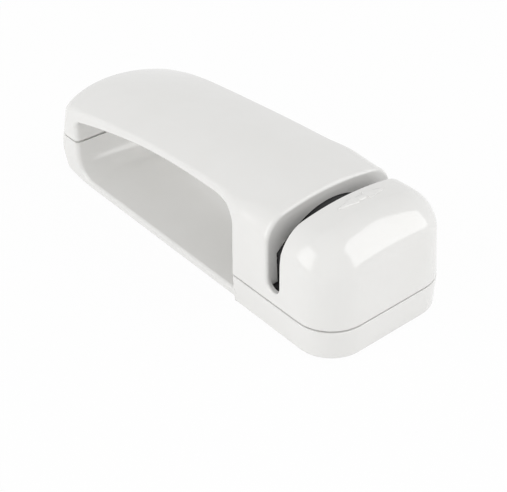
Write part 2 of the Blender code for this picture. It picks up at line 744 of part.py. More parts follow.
def make_heater_carrier(look):
    carrier = slab("heater_carrier", (carrier_rear_x, carrier_front_x), FLOOR + GAP)
    half = holder_width / 2
    slot_floor_z = (SLOT_BOTTOM - SLOT_FLOOR_THICKNESS, SLOT_BOTTOM)
    floor_x = (carrier_front_x - OVERLAP, jaw_rear_x - GAP)
    add(carrier, box("slot_floor", floor_x, (-half, half), slot_floor_z))
    web_x = carrier_front_x - CARRIER_WEB
    behind = (carrier_rear_x - OVERLAP, web_x)
    cut(carrier, box("channel", behind, (-block_half, block_half), (0, holder_top_z + GAP)))
    groove_z = STRIP_HEIGHT / 2 + GAP
    groove_y = STRIP_LENGTH / 2 + GAP
    groove_x = (carrier_front_x - STRIP_THICKNESS - GAP, carrier_front_x + OVERLAP)
    cut(carrier, box("groove", groove_x, (-groove_y, groove_y), (heater_z - groove_z, heater_z + groove_z)))
    for side in (-1, 1):
        y = side * RIVET_SPACING / 2
        chase = (y - 2 * LEAD_RADIUS, y + 2 * LEAD_RADIUS)
        cut(carrier, box("chase", behind, chase, (holder_top_z - OVERLAP, heater_z + 2 * LEAD_RADIUS)))
        bore = (carrier_rear_x - OVERLAP, carrier_front_x)
        cut(carrier, rod("rivet_bore", "X", (y, heater_z), RIVET_RADIUS + GAP, *bore))
    cut(carrier, *lead_notches((carrier_rear_x - OVERLAP, carrier_front_x + OVERLAP)))
    return finish(carrier, look)


def make_heater(strip_look, cover_look, rivet_look):
    strip_x = (carrier_front_x - STRIP_THICKNESS, carrier_front_x)
    half = (-STRIP_LENGTH / 2, STRIP_LENGTH / 2)
    height = (heater_z - STRIP_HEIGHT / 2, heater_z + STRIP_HEIGHT / 2)
    finish(box("heater_strip", strip_x, half, height), strip_look)
    cover_x = (slot_rear_x, slot_rear_x + COVER_THICKNESS)
    cover_half = (-COVER_LENGTH / 2, COVER_LENGTH / 2)
    cover_z = (heater_z - COVER_HEIGHT / 2, heater_z + COVER_HEIGHT / 2)
    finish(box("heater_cover", cover_x, cover_half, cover_z), cover_look)
    tail = carrier_front_x - CARRIER_WEB - RIVET_TAIL
    for name, side in (("near_rivet", -1), ("far_rivet", 1)):
        axis = (side * RIVET_SPACING / 2, heater_z)
        finish(rod(name, "X", axis, RIVET_RADIUS, tail, strip_x[0] - GAP), rivet_look)


def make_front_jaw(look):
    jaw = slab("front_jaw", (jaw_rear_x, jaw_front_x), FLOOR + GAP)
    through = (jaw_rear_x - OVERLAP, jaw_front_x + OVERLAP)
    side = ROLLER_RADIUS + ROLLER_CLEARANCE
    tall = carriage_half_height + ROLLER_CLEARANCE
    cut(jaw, box("window", through, (-side, side), (heater_z - tall, heater_z + tall)))
    cut(jaw, *lead_notches(through))
    for y in (-POST_SPACING / 2, POST_SPACING / 2):
        add(jaw, rod("guide", "X", (y, heater_z), POST_RADIUS, jaw_front_x - OVERLAP, spring_seat_x - GAP))
    return finish(jaw, look)


# Pressure carriage


def make_carriage(look):
    half = POST_SPACING / 2 + POST_RADIUS + GAP + CARRIAGE_RIM
    z = (heater_z - carriage_half_height, heater_z + carriage_half_height)
    carriage = box("roller_carriage", (carriage_rear_x, carriage_front_x), (-half, half), z)
    for low, high in ((z[0], heater_z - flange_z), (heater_z + flange_z, z[1])):
        angles = [math.pi / 2 + math.pi * i / FLANGE_STEPS for i in range(FLANGE_STEPS + 1)]
        arm = [(pin_x + FLANGE_RADIUS * math.cos(a), FLANGE_RADIUS * math.sin(a)) for a in angles]
        arm += [(carriage_rear_x + OVERLAP, -FLANGE_RADIUS), (carriage_rear_x + OVERLAP, FLANGE_RADIUS)]
        add(carriage, prism("flange", arm, "Z", low, high))
    pocket_x = (carriage_rear_x - OVERLAP, pin_x + ROLLER_RADIUS + ROLLER_CLEARANCE)
    pocket_y = ROLLER_RADIUS + ROLLER_CLEARANCE
    pocket_z = (heater_z - flange_z, heater_z + flange_z)
    cut(carriage, box("pocket", pocket_x, (-pocket_y, pocket_y), pocket_z))
    cut(carriage, rod("pin_bore", "Z", (pin_x, 0), PIN_RADIUS + GAP, z[0] - OVERLAP, z[1] + OVERLAP))
    for y in (-POST_SPACING / 2, POST_SPACING / 2):
        through = (carriage_rear_x - OVERLAP, carriage_front_x + OVERLAP)
        cut(carriage, rod("guide_bore", "X", (y, heater_z), POST_RADIUS + GAP, *through))
    return finish(carriage, look, (carriage_front_x, 0.0, heater_z))


def make_roller(rubber, steel):
    bore = PIN_RADIUS + GAP
    low = heater_z - ROLLER_LENGTH / 2
    high = heater_z + ROLLER_LENGTH / 2
    profile = [
        (bore, low),
        (ROLLER_RADIUS - ROLLER_EDGE, low),
        (ROLLER_RADIUS, low + ROLLER_EDGE),
        (ROLLER_RADIUS, high - ROLLER_EDGE),
        (ROLLER_RADIUS - ROLLER_EDGE, high),
        (bore, high),
    ]
    roller = turned("pressure_roller", profile, "Z", (pin_x, 0), BORE_STEPS, cyclic=True)
    finish(roller, rubber, (pin_x, 0.0, heater_z))
    ends = (heater_z - carriage_half_height, heater_z + carriage_half_height)
    pin = rod("roller_pin", "Z", (pin_x, 0), PIN_RADIUS, *ends)
    finish(pin, steel, (pin_x, 0.0, heater_z))


def helix(axis_y, axis_z, start, end, turns, first_radius, last_radius, axis):
    """Points of a coil along X or Y, with its wire's ends square to the coil."""
    points = []
    steps = COIL_STEPS * turns
    for i in range(steps + 1):
        share = i / steps
        angle = math.tau * turns * share
        radius = first_radius + (last_radius - first_radius) * share
        across = axis_y + radius * math.cos(angle)
        up = axis_z + radius * math.sin(angle)
        points.append(on_axis(axis, across, up, start + (end - start) * share))
    return points


def make_springs(look):
    start = spring_rear_x + SPRING_WIRE
    end = spring_rear_x + SPRING_LENGTH - SPRING_WIRE
    for name, side in (("near_carriage_spring", -1), ("far_carriage_spring", 1)):
        y = side * POST_SPACING / 2
        points = helix(y, heater_z, start, end, SPRING_TURNS, SPRING_RADIUS, SPRING_RADIUS, "X")
        tube(name, points, SPRING_WIRE, look)


def make_switch(case_look, plunger_look):
    x = (switch_rear_x, switch_rear_x + SWITCH_LENGTH)
    z = (heater_z - SWITCH_HEIGHT / 2, heater_z + SWITCH_HEIGHT / 2)
    body = box("switch_body", x, (-SWITCH_WIDTH / 2, SWITCH_WIDTH / 2), z)
    bore = PLUNGER_SIDE / 2 + GAP
    depth = switch_rear_x + PLUNGER_ENTRY + CARRIAGE_TRAVEL + GAP
    bore_z = (heater_z - bore, heater_z + bore)
    cut(body, box("plunger_bore", (switch_rear_x - OVERLAP, depth), (-bore, bore), bore_z))
    finish(body, case_look)
    side = (-PLUNGER_SIDE / 2, PLUNGER_SIDE / 2)
    plunger_x = (carriage_front_x + GAP, switch_rear_x + PLUNGER_ENTRY)
    plunger_z = (heater_z + side[0], heater_z + side[1])
    plunger = box("switch_plunger", plunger_x, side, plunger_z)
    finish(plunger, plunger_look, (plunger_x[0], 0.0, heater_z))


# Battery


def make_battery_holder(look):
    x = (holder_rear_x, holder_front_x)
    half = holder_width / 2
    holder = box("battery_holder", x, (-half, half), (FLOOR + GAP, holder_top_z))
    inner_x = (holder_rear_x + HOLDER_WALL, holder_front_x - HOLDER_WALL)
    inner = holder_inner_width / 2
    cut(holder, box("bay", inner_x, (-inner, inner), (0, holder_roof_z)))
    for z in (cell_low_z, cell_high_z):
        tab = CONTACT_TAB / 2 + GAP
        wide = (-inner - GAP, CONTACT_THICKNESS + 2 * GAP - inner)
        front = (inner_x[1] - OVERLAP, holder_front_x + OVERLAP)
        cut(holder, box("tab_slit", front, wide, (z - tab, z + tab)))
    return finish(holder, look)


def make_cells(look):
    radius = CELL_DIAMETER / 2
    edge = CELL_CLEARANCE
    nub_y = CONTACT_THICKNESS + 2 * GAP - holder_inner_width / 2
    for name, z, side in (("lower_cell", cell_low_z, 1), ("upper_cell", cell_high_z, -1)):
        profile = [
            (NUB_RADIUS, nub_y),
            (NUB_RADIUS, nub_y + NUB_LENGTH),
            (radius - edge, nub_y + NUB_LENGTH),
            (radius, nub_y + NUB_LENGTH + edge),
            (radius, nub_y + CELL_LENGTH - edge),
            (radius - edge, nub_y + CELL_LENGTH),
        ]
        cell = turned(name, [(r, side * y) for r, y in profile], "Y", (cell_x, z), BORE_STEPS)
        finish(cell, look)


def make_contacts(look):
    half = CONTACT_SIDE / 2
    inner = holder_inner_width / 2
    plate_y = (GAP - inner, GAP - inner + CONTACT_THICKNESS)
    for name, z in (("positive_contact", cell_low_z), ("negative_contact", cell_high_z)):
        plate = box(name, (cell_x - half, cell_x + half), plate_y, (z - half, z + half))
        tab_x = (cell_x, holder_front_x + CONTACT_TAB_REACH)
        tab_z = (z - CONTACT_TAB / 2, z + CONTACT_TAB / 2)
        add(plate, box("tab", tab_x, plate_y, tab_z))
        finish(plate, look)
    bridge_y = (-plate_y[1], -plate_y[0])
    bridge_z = (cell_low_z - half, cell_high_z + half)
    finish(box("bridge_contact", (cell_x - half, cell_x + half), bridge_y, bridge_z), look)
    start = -plate_y[1] - GAP - COIL_WIRE
    end = start + 2 * COIL_WIRE - COIL_LENGTH
    for name, z, side in (("lower_contact_spring", cell_low_z, 1), ("upper_contact_spring", cell_high_z, -1)):
        points = helix(cell_x, z, side * start, side * end, COIL_TURNS, COIL_WIDE, COIL_NARROW, "Y")
        tube(name, points, COIL_WIRE, look)


def flowing(points, rounds=2):
    """Points along a lead, with its corners cut round again and again."""
    for _ in range(rounds):
        eased = [points[0]]
        for a, b in zip(points, points[1:]):
            eased += [a.lerp(b, 0.25), a.lerp(b, 0.75)]
        points = eased + [points[-1]]
    return points


def make_leads(red, black, white):
    tab_y = GAP + CONTACT_THICKNESS / 2 - holder_inner_width / 2
    rivet_y = RIVET_SPACING / 2
    lead_end = GAP + CONTACT_TAB / 2
    under_rivet = heater_z - RIVET_RADIUS - GAP
    switch_foot = heater_z - SWITCH_HEIGHT / 2 - GAP
    switch_x = switch_rear_x + SWITCH_LENGTH - LEAD_RADIUS
    beside_pillar = PILLAR_WIDTH / 2 + 3 * LEAD_RADIUS
    low = LEAD_HEIGHT
    turn = 3 * LEAD_RADIUS

    def under_slot(side):
        """From the channel forwards under the jaws and up to the switch."""
        y = side * rivet_y
        end_y = side * LEAD_SPACING / 2
        return [
            Vector((channel_x, y, low + turn)),
            Vector((channel_x + turn, y, low)),
            Vector((jaw_front_x + turn, y, low)),
            Vector((switch_rear_x, side * beside_pillar, low)),
            Vector((switch_x, side * beside_pillar, low)),
            Vector((switch_x, end_y, low)),
            Vector((switch_x, end_y, low + turn)),
            Vector((switch_x, end_y, switch_foot - turn)),
            Vector((switch_x, end_y, switch_foot)),
        ]

    battery = [
        Vector((channel_x, tab_y, cell_low_z - lead_end)),
        Vector((channel_x, tab_y, low)),
        Vector((channel_x, -rivet_y, low)),
        *under_slot(-1)[1:],
    ]
    tube("battery_lead", flowing(battery), LEAD_RADIUS, red)
    heater = list(reversed(under_slot(1)))
    heater += [Vector((channel_x, rivet_y, z)) for z in (under_rivet - turn, under_rivet)]
    tube("heater_lead", flowing(heater), LEAD_RADIUS, white)
    tab_top = cell_high_z + lead_end
    back = [
        Vector((channel_x, tab_y, tab_top)),
        Vector((channel_x, tab_y, tab_top + turn)),
        Vector((channel_x, -rivet_y, holder_roof_z - LEAD_RADIUS)),
        Vector((channel_x, -rivet_y, under_rivet - turn)),
        Vector((channel_x, -rivet_y, under_rivet)),
    ]
    tube("return_lead", flowing(back), LEAD_RADIUS, black)


def main():
    scene_clear()
    white = material("white_abs", (0.80, 0.79, 0.77), 0.28)
    black = material("black_pbt", (0.015, 0.015, 0.016), 0.5)
    acetal = material("grey_acetal", (0.25, 0.25, 0.26), 0.45)
    steel = material("steel", (0.55, 0.55, 0.56), 0.3, 1.0)
    nickel = material("nickel_plate", (0.62, 0.60, 0.56), 0.3, 1.0)
    nichrome = material("nichrome", (0.42, 0.40, 0.38), 0.35, 1.0)
    ptfe = material("ptfe_cloth", (0.35, 0.22, 0.10), 0.55)
    silicone = material("silicone", (0.45, 0.10, 0.06), 0.6)
    sleeve = material("cell_sleeve", (0.05, 0.07, 0.10), 0.35)
    red_wire = material("red_wire", (0.55, 0.02, 0.02), 0.45)
    black_wire = material("black_wire", (0.01, 0.01, 0.01), 0.45)
    white_wire = material("white_wire", (0.7, 0.7, 0.7), 0.45)
    make_upper_shell(white)
    make_base_shell(white)
    make_battery_door(white)
    make_screws(steel)
    make_heater_carrier(black)
    make_heater(nichrome, ptfe, nickel)
    make_front_jaw(black)
    make_carriage(acetal)
    make_roller(silicone, steel)
    make_springs(steel)
    make_switch(black, acetal)
    make_battery_holder(acetal)
    make_cells(sleeve)
    make_contacts(nickel)
    make_leads(red_wire, black_wire, white_wire)


main()
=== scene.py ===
"""Looks of the handheld bag heat sealer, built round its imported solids. Metres, nose towards +X."""

import json
import math

import bmesh
import bpy
import numpy as np
from mathutils import Matrix, Vector
from mathutils.bvhtree import BVHTree

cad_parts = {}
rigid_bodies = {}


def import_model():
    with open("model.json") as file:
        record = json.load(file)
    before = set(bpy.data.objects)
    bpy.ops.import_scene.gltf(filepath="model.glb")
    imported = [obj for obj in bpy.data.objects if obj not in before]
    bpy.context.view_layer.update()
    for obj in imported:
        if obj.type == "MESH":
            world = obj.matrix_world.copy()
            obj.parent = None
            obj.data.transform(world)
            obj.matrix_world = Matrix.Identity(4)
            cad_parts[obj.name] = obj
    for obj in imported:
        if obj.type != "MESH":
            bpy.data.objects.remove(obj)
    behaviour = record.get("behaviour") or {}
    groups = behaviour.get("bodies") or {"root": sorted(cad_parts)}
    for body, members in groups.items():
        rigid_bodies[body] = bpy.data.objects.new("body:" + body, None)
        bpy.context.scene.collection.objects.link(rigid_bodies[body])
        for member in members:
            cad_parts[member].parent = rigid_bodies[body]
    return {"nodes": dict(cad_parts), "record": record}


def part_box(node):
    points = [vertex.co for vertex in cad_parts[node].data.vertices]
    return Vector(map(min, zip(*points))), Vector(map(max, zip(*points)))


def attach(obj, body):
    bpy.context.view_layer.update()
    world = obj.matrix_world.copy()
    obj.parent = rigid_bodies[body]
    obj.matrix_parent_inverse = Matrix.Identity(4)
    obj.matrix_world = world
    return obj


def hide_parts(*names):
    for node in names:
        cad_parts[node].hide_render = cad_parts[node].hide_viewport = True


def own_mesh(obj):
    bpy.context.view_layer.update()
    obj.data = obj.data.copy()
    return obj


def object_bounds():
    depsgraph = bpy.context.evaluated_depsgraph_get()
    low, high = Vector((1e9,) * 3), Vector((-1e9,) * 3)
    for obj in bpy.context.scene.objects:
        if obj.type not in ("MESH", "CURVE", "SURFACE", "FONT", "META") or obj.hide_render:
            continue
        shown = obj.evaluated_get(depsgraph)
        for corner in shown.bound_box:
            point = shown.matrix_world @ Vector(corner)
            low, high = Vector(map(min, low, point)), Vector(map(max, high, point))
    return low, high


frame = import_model()
nodes = frame["nodes"]
cad_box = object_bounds()
for extra in [o for o in bpy.data.objects if o.name in ("Cube", "Light", "Camera")]:
    bpy.data.objects.remove(extra)

MM = 0.001

# Case form. It follows the solids, except that the nose is rounder and a little lower
LENGTH = 175.1 * MM
HANDLE_HALF = 26.8 * MM
BLOCK_HALF = 28.12 * MM
CROWN_HEIGHT = 43.4 * MM
CROWN_RADIUS = 98.0 * MM
STRAP_CROWN_RADIUS = 82.0 * MM
STRAP_RADIUS = 910.0 * MM
NOSE_CORNER = 14.0 * MM
NOSE_ROUND = 9.0 * MM
NOSE_DROP = 0.4 * MM
FRONT_ROUND = 12.8 * MM
FRONT_RUN = 18.0 * MM
SHOULDER_ROUND = 7.9 * MM
STRAP_EDGE = 0.9 * MM
REAR_EDGE = 3.0 * MM
REAR_EDGE_RUN = (12.0 * MM, 30.0 * MM)
STRAP_TAPER = 1.7 * MM
TAPER_PAST = 4.0 * MM
STRAP_TAPER_RUN = (15.0 * MM, 85.0 * MM)
FOOT_ROUND = 0.8 * MM
FOOT_TAPER = 0.6 * MM
DRAFT = math.radians(2.5)
SEAM_HEIGHT = 11.4 * MM
REAR_SEAM_HEIGHT = 17.8 * MM
SEAM_CHANGE = (0.25, 0.75)
REAR_PLAN = 15.0 * MM
REAR_TOP_PLAN = 12.7 * MM
REAR_LEAN = 6.4 * MM
REAR_TOP_RUN = 49.0 * MM
REAR_FOOT_RUN = 32.3 * MM
REAR_TOP_SHARE = 0.656
REAR_TOP_ARCH = 0.395
REAR_FOOT_SHARE = 0.908
WALL = 2.0 * MM
ROOF = 3.6 * MM
FLOOR = 2.6 * MM
GAP = 0.3 * MM
OVERLAP = 1.0 * MM

NOSE_X = cad_box[1][0]
REAR_X = NOSE_X - LENGTH

# Finger opening
BLOCK_REAR = NOSE_X - 48.0 * MM
OPENING_REAR = REAR_X + 23.8 * MM
ARM_HEIGHT = 3.4 * MM
STRAP_THICKNESS = 6.9 * MM
OPENING_ARCH = 330.0 * MM
OPENING_PEAK = 24.0 * MM
OPENING_FRONT_FOOT = 4.5 * MM
OPENING_FRONT_TOP = 5.0 * MM
OPENING_REAR_TOP = 4.5 * MM
OPENING_REAR_FOOT = 8.0 * MM
WIDEN_RUN = 14.0 * MM
STEP_RUN = 1.2 * MM
STRAP_FRONT = BLOCK_REAR - WIDEN_RUN

# Film slot, and the window in its rear wall
SHOULDER_END = NOSE_X - 27.6 * MM
SLOT_REAR = NOSE_X - 29.9 * MM
SLOT_FRONT = NOSE_X - 22.6 * MM
SLOT_SWEEP = 0.8 * MM
SLOT_SWEEP_RISE = (27.0 * MM, 37.0 * MM)
SLOT_BOTTOM = 16.0 * MM
SLOT_DEPTH = 6.0 * MM
SLOT_ABOVE = 3.0 * MM
COLLAR = 0.28 * MM
COLLAR_INSET = 0.02 * MM
COLLAR_FOOT = 16.3 * MM
WINDOW_TOP = 38.4 * MM
WINDOW_ARCH = 24.0 * MM
WINDOW_HALF = 23.0 * MM

# Edges that the moulding tool rounds
SEAM_GAP = 0.6 * MM
SEAM_EDGE = 0.35 * MM
REVEAL = 0.8 * MM
REVEAL_DEPTH = 1.2 * MM
ROOF_EDGE = 1.0 * MM
ARM_EDGE = 1.2 * MM
REAR_RIM = 2.2 * MM
FRONT_EDGE = 0.5 * MM
SLOT_LIP = 1.3 * MM
NOSE_LIP = 0.25 * MM
FLARE_END = math.radians(80)
RIM_PROBE = 0.9

# How finely the outlines and the sections are divided
REAR_STEPS = 44
STRAP_STEPS = 64
WIDEN_STEPS = 16
BLOCK_STEPS = 36
NOSE_STEPS = 24
HOLLOW_SIDE_STEPS = 12
HOLLOW_NOSE_STEPS = 16
HOLLOW_ROUND_STEPS = 11
WALL_STEPS = 10
EDGE_STEPS = 5
SHOULDER_STEPS = 17
CAP_SHARES = (0.06, 0.14, 0.24, 0.36, 0.48, 0.6, 0.72, 0.84, 0.94, 1.0)
ARCH_STEPS = 40
CORNER_STEPS = 18
OPENING_SPACING = 1.5 * MM
FLARE_STEPS = 10
SECTION_STEPS = 30
SLOT_STEPS = 70
SLOT_END_STEPS = 17
WINDOW_STEPS = 49
WELD = 1e-7
CARRIER_WELD = 1e-6
CLEAR = 1e-5


# Mesh tools


def mesh_object(name, points, faces, weld=WELD):
    mesh = bmesh.new()
    verts = [mesh.verts.new(p) for p in points]
    for face in faces:
        mesh.faces.new([verts[i] for i in face])
    bmesh.ops.remove_doubles(mesh, verts=mesh.verts, dist=weld)
    bmesh.ops.dissolve_degenerate(mesh, edges=mesh.edges, dist=weld)
    bmesh.ops.recalc_face_normals(mesh, faces=mesh.faces)
    data = bpy.data.meshes.new(name)
    mesh.to_mesh(data)
    mesh.free()
    obj = bpy.data.objects.new(name, data)
    bpy.context.scene.collection.objects.link(obj)
    return obj


def loft(name, rings, caps=()):
    """A skin through closed rings of equal count. Caps are index lists into the first and the last ring."""
    count = len(rings[0])
    points = np.concatenate([np.asarray(ring, float) for ring in rings])
    faces = []
    for k in range(len(rings) - 1):
        for i in range(count):
            j = (i + 1) % count
            faces.append((k * count + i, k * count + j, (k + 1) * count + j, (k + 1) * count + i))
    last = (len(rings) - 1) * count
    for cap in caps:
        faces.append(list(cap))
        faces.append([last + i for i in cap])
    return mesh_object(name, points, faces)


def boolean(target, operation, *tools):
    for tool in tools:
        step = target.modifiers.new(operation, "BOOLEAN")
        step.operation = operation
        step.solver = "MANIFOLD"
        step.object = tool
        graph = bpy.context.evaluated_depsgraph_get()
        mesh = bpy.data.meshes.new_from_object(target.evaluated_get(graph))
        target.modifiers.clear()
        target.data = mesh
        bpy.data.objects.remove(tool)


def prism(name, outline, axis, low, high):
    order = {"X": (2, 0, 1), "Y": (0, 2, 1), "Z": (0, 1, 2)}[axis]
    rings = []
    for along in (low, high):
        rings.append([tuple((a, b, along)[i] for i in order) for a, b in outline])
    return loft(name, rings, caps=[range(len(outline))])


def block(name, x, y, z):
    return prism(name, [(x[0], y[0]), (x[1], y[0]), (x[1], y[1]), (x[0], y[1])], "Z", *z)


def rod(name, axis, centre, radius, low, high, count=32):
    angles = np.linspace(0, math.tau, count, endpoint=False)
    outline = [(centre[0] + radius * math.cos(a), centre[1] + radius * math.sin(a)) for a in angles]
    return prism(name, outline, axis, low, high)


def dress(obj, look, crease=35):
    """Smooth shading with weighted normals, so flat walls stay flat beside their rounded edges."""
    obj.data.materials.clear()
    obj.data.materials.append(look)
    obj.data.shade_smooth()
    obj.data.set_sharp_from_angle(angle=math.radians(crease))
    step = obj.modifiers.new("weights", "WEIGHTED_NORMAL")
    step.keep_sharp = True
    graph = bpy.context.evaluated_depsgraph_get()
    obj.data = bpy.data.meshes.new_from_object(obj.evaluated_get(graph))
    obj.modifiers.clear()
    return obj


# Outer form


def smooth_step(value):
    value = np.clip(value, 0.0, 1.0)
    return value * value * (3 - 2 * value)


def lean(z):
    return np.maximum(0.0, z - SEAM_HEIGHT) * math.tan(DRAFT)


def over_block(x):
    return smooth_step((x - STRAP_FRONT) / (SHOULDER_END - STRAP_FRONT))


def over_nose(x):
    return smooth_step((x - SLOT_REAR) / (SLOT_FRONT - SLOT_REAR))


def crown_line(x):
    return CROWN_HEIGHT - np.maximum(0.0, BLOCK_REAR - x) ** 2 / (2 * STRAP_RADIUS)


def rear_fall(x, run, whole, arch=0.0):
    return np.sqrt(1 - (whole * np.clip((REAR_X + run - x) / run, 0.0, 1.0)) ** 2 * (1 + arch))


def top_z(x, y):
    radius = STRAP_CROWN_RADIUS + (CROWN_RADIUS - STRAP_CROWN_RADIUS) * over_block(x)
    arched = crown_line(x) - NOSE_DROP * over_nose(x) - y * y / (2 * radius)
    fall = rear_fall(x, REAR_TOP_RUN, REAR_TOP_SHARE, REAR_TOP_ARCH * (y / HANDLE_HALF) ** 2)
    return REAR_SEAM_HEIGHT + (arched - REAR_SEAM_HEIGHT) * fall


def foot_z(x):
    return REAR_SEAM_HEIGHT * (1 - rear_fall(x, REAR_FOOT_RUN, REAR_FOOT_SHARE))


def seam_z(x):
    """The seam is higher round the rear end. It changes over the opening, where there is no wall."""
    start, end = SEAM_CHANGE
    along = (x - OPENING_REAR) / (BLOCK_REAR - OPENING_REAR)
    share = smooth_step((along - start) / (end - start))
    return REAR_SEAM_HEIGHT + (SEAM_HEIGHT - REAR_SEAM_HEIGHT) * share


def edge_round(x):
    """Rounding of the top edge: small on the strap, larger on the block and largest at the nose's front."""
    start, end = REAR_EDGE_RUN
    at_rear = 1 - smooth_step((x - REAR_X - start) / (end - start))
    strap = STRAP_EDGE + (REAR_EDGE - STRAP_EDGE) * at_rear
    to_front = smooth_step((x - NOSE_X + FRONT_RUN) / FRONT_RUN)
    nose = (NOSE_ROUND - SHOULDER_ROUND) * over_nose(x) + (FRONT_ROUND - NOSE_ROUND) * to_front
    return strap + (SHOULDER_ROUND - STRAP_EDGE) * over_block(x) + nose


def strap_taper(x):
    """How much further in the strap's sides stand at their top than the block's do."""
    start, end = STRAP_TAPER_RUN
    grown = smooth_step((x - REAR_X - start) / (end - start))
    return STRAP_TAPER * grown * (1 - smooth_step((x - STRAP_FRONT - TAPER_PAST) / WIDEN_RUN))


def wall_inset(level, shoulder):
    below = FOOT_TAPER * np.clip((SEAM_HEIGHT - level) / (SEAM_HEIGHT - FOOT_ROUND), 0.0, 1.0)
    return below + lean(shoulder) * np.clip((level - SEAM_HEIGHT) / (shoulder - SEAM_HEIGHT), 0.0, 1.0)


def placed(plan, level):
    x, y = plan[:, 0], plan[:, 1]
    low = foot_z(x)
    return np.column_stack([x, y, low + level / CROWN_HEIGHT * (top_z(x, y) - low)])


def spread(start, end, steps):
    return np.linspace(start, end, steps, endpoint=False)


def nose_plan(steps):
    centre = (NOSE_X - NOSE_CORNER, NOSE_CORNER - BLOCK_HALF)
    a = spread(-math.pi / 2, 0, steps)
    arc = np.column_stack([centre[0] + NOSE_CORNER * np.cos(a), centre[1] + NOSE_CORNER * np.sin(a)])
    y = np.linspace(centre[1], 0, steps // 2)
    return np.concatenate([arc, np.column_stack([np.full_like(y, NOSE_X), y])])


def case_plan(widen_run, tip, length):
    """Whole outline, counter-clockwise from the rear tip, with a round rear end of that length."""
    bend = tip + length
    narrow = BLOCK_REAR - widen_run
    a = spread(math.pi, 1.5 * math.pi, REAR_STEPS)
    rear = np.column_stack([bend + length * np.cos(a), HANDLE_HALF * np.sin(a)])
    x = np.concatenate(
        [
            spread(bend, narrow, STRAP_STEPS),
            spread(narrow, BLOCK_REAR, WIDEN_STEPS),
            spread(BLOCK_REAR, NOSE_X - NOSE_CORNER, BLOCK_STEPS),
        ]
    )
    wide = smooth_step((x - narrow) / widen_run)
    side = np.column_stack([x, -HANDLE_HALF - (BLOCK_HALF - HANDLE_HALF) * wide])
    half = np.concatenate([rear, side, nose_plan(NOSE_STEPS)])
    return np.concatenate([half, half[-2:0:-1] * (1, -1)])


def case_plans(widen_run):
    """The outline at the seam and at the top: the rear end leans forward as it rises."""
    seam = case_plan(widen_run, REAR_X, REAR_PLAN)
    return seam, case_plan(widen_run, REAR_X + REAR_LEAN, REAR_TOP_PLAN)


def between(plans, level):
    rise = np.clip((level - REAR_SEAM_HEIGHT) / (CROWN_HEIGHT - REAR_SEAM_HEIGHT), 0.0, 1.0)
    return plans[0] + (plans[1] - plans[0]) * np.reshape(rise, (-1, 1))


def block_plan():
    """The block alone, run on behind with square corners."""
    behind = BLOCK_REAR - NOSE_CORNER
    x = spread(behind, NOSE_X - NOSE_CORNER, HOLLOW_SIDE_STEPS)
    half = np.concatenate(
        [
            [(behind, 0.0), (behind, -BLOCK_HALF / 2)],
            np.column_stack([x, np.full_like(x, -BLOCK_HALF)]),
            nose_plan(HOLLOW_NOSE_STEPS),
        ]
    )
    return np.concatenate([half, half[-2:0:-1] * (1, -1)])


def outward_of(plan):
    tangent = np.roll(plan, -1, axis=0) - np.roll(plan, 1, axis=0)
    normal = np.column_stack([tangent[:, 1], -tangent[:, 0]])
    return normal / np.linalg.norm(normal, axis=1)[:, None]


def core_of(plan):
    x = np.clip(plan[:, 0], plan[0, 0] + REAR_PLAN, NOSE_X - NOSE_CORNER)
    return np.column_stack([x, np.zeros_like(x)])


def seam_frame(plan):
    """For each plan point: the seam's level, and levels for each metre of height."""
    x, y = plan[:, 0], plan[:, 1]
    height = top_z(x, y) - foot_z(x)
    return (seam_z(x) - foot_z(x)) / height * CROWN_HEIGHT, CROWN_HEIGHT / height


def closing(rim, core):
    """Flat rings that run in from a rim to the core line."""
    rings = []
    for share in CAP_SHARES[::3]:
        flat = rim.copy()
        flat[:, :2] += (core - rim[:, :2]) * share
        rings.append(flat)
    return rings


def upper_form(name, plans):
    plan = plans[0]
    outward, core = outward_of(plan), core_of(plan)
    radius = edge_round(plan[:, 0])
    shoulder = CROWN_HEIGHT - radius
    taper = strap_taper(plan[:, 0])
    seam, scale = seam_frame(plan)
    rings = []

    def ring(inset, level):
        inset = inset + taper * np.clip((level - SEAM_HEIGHT) / (shoulder - SEAM_HEIGHT), 0.0, 1.0)
        rings.append(placed(between(plans, level) - outward * np.reshape(inset, (-1, 1)), level))

    for a in np.linspace(0, math.pi / 2, EDGE_STEPS):
        level = seam + (SEAM_GAP / 2 + SEAM_EDGE * (1 - math.cos(a))) * scale
        ring(wall_inset(level, shoulder) + SEAM_EDGE * (1 - math.sin(a)), level)
    start = seam + (SEAM_GAP / 2 + SEAM_EDGE) * scale
    for share in np.linspace(0, 1, WALL_STEPS + 1)[1:-1]:
        level = start + (shoulder - start) * share
        ring(wall_inset(level, shoulder), level)
    for a in np.linspace(0, math.pi / 2, SHOULDER_STEPS):
        ring(lean(shoulder) + radius * (1 - math.cos(a)), shoulder + radius * math.sin(a))
    rim = plans[1] - outward * (lean(shoulder) + taper + radius)[:, None]
    for share in CAP_SHARES:
        rings.append(placed(rim + (core - rim) * share, CROWN_HEIGHT))
    return loft(name, closing(rings[0], core)[::-1] + rings)


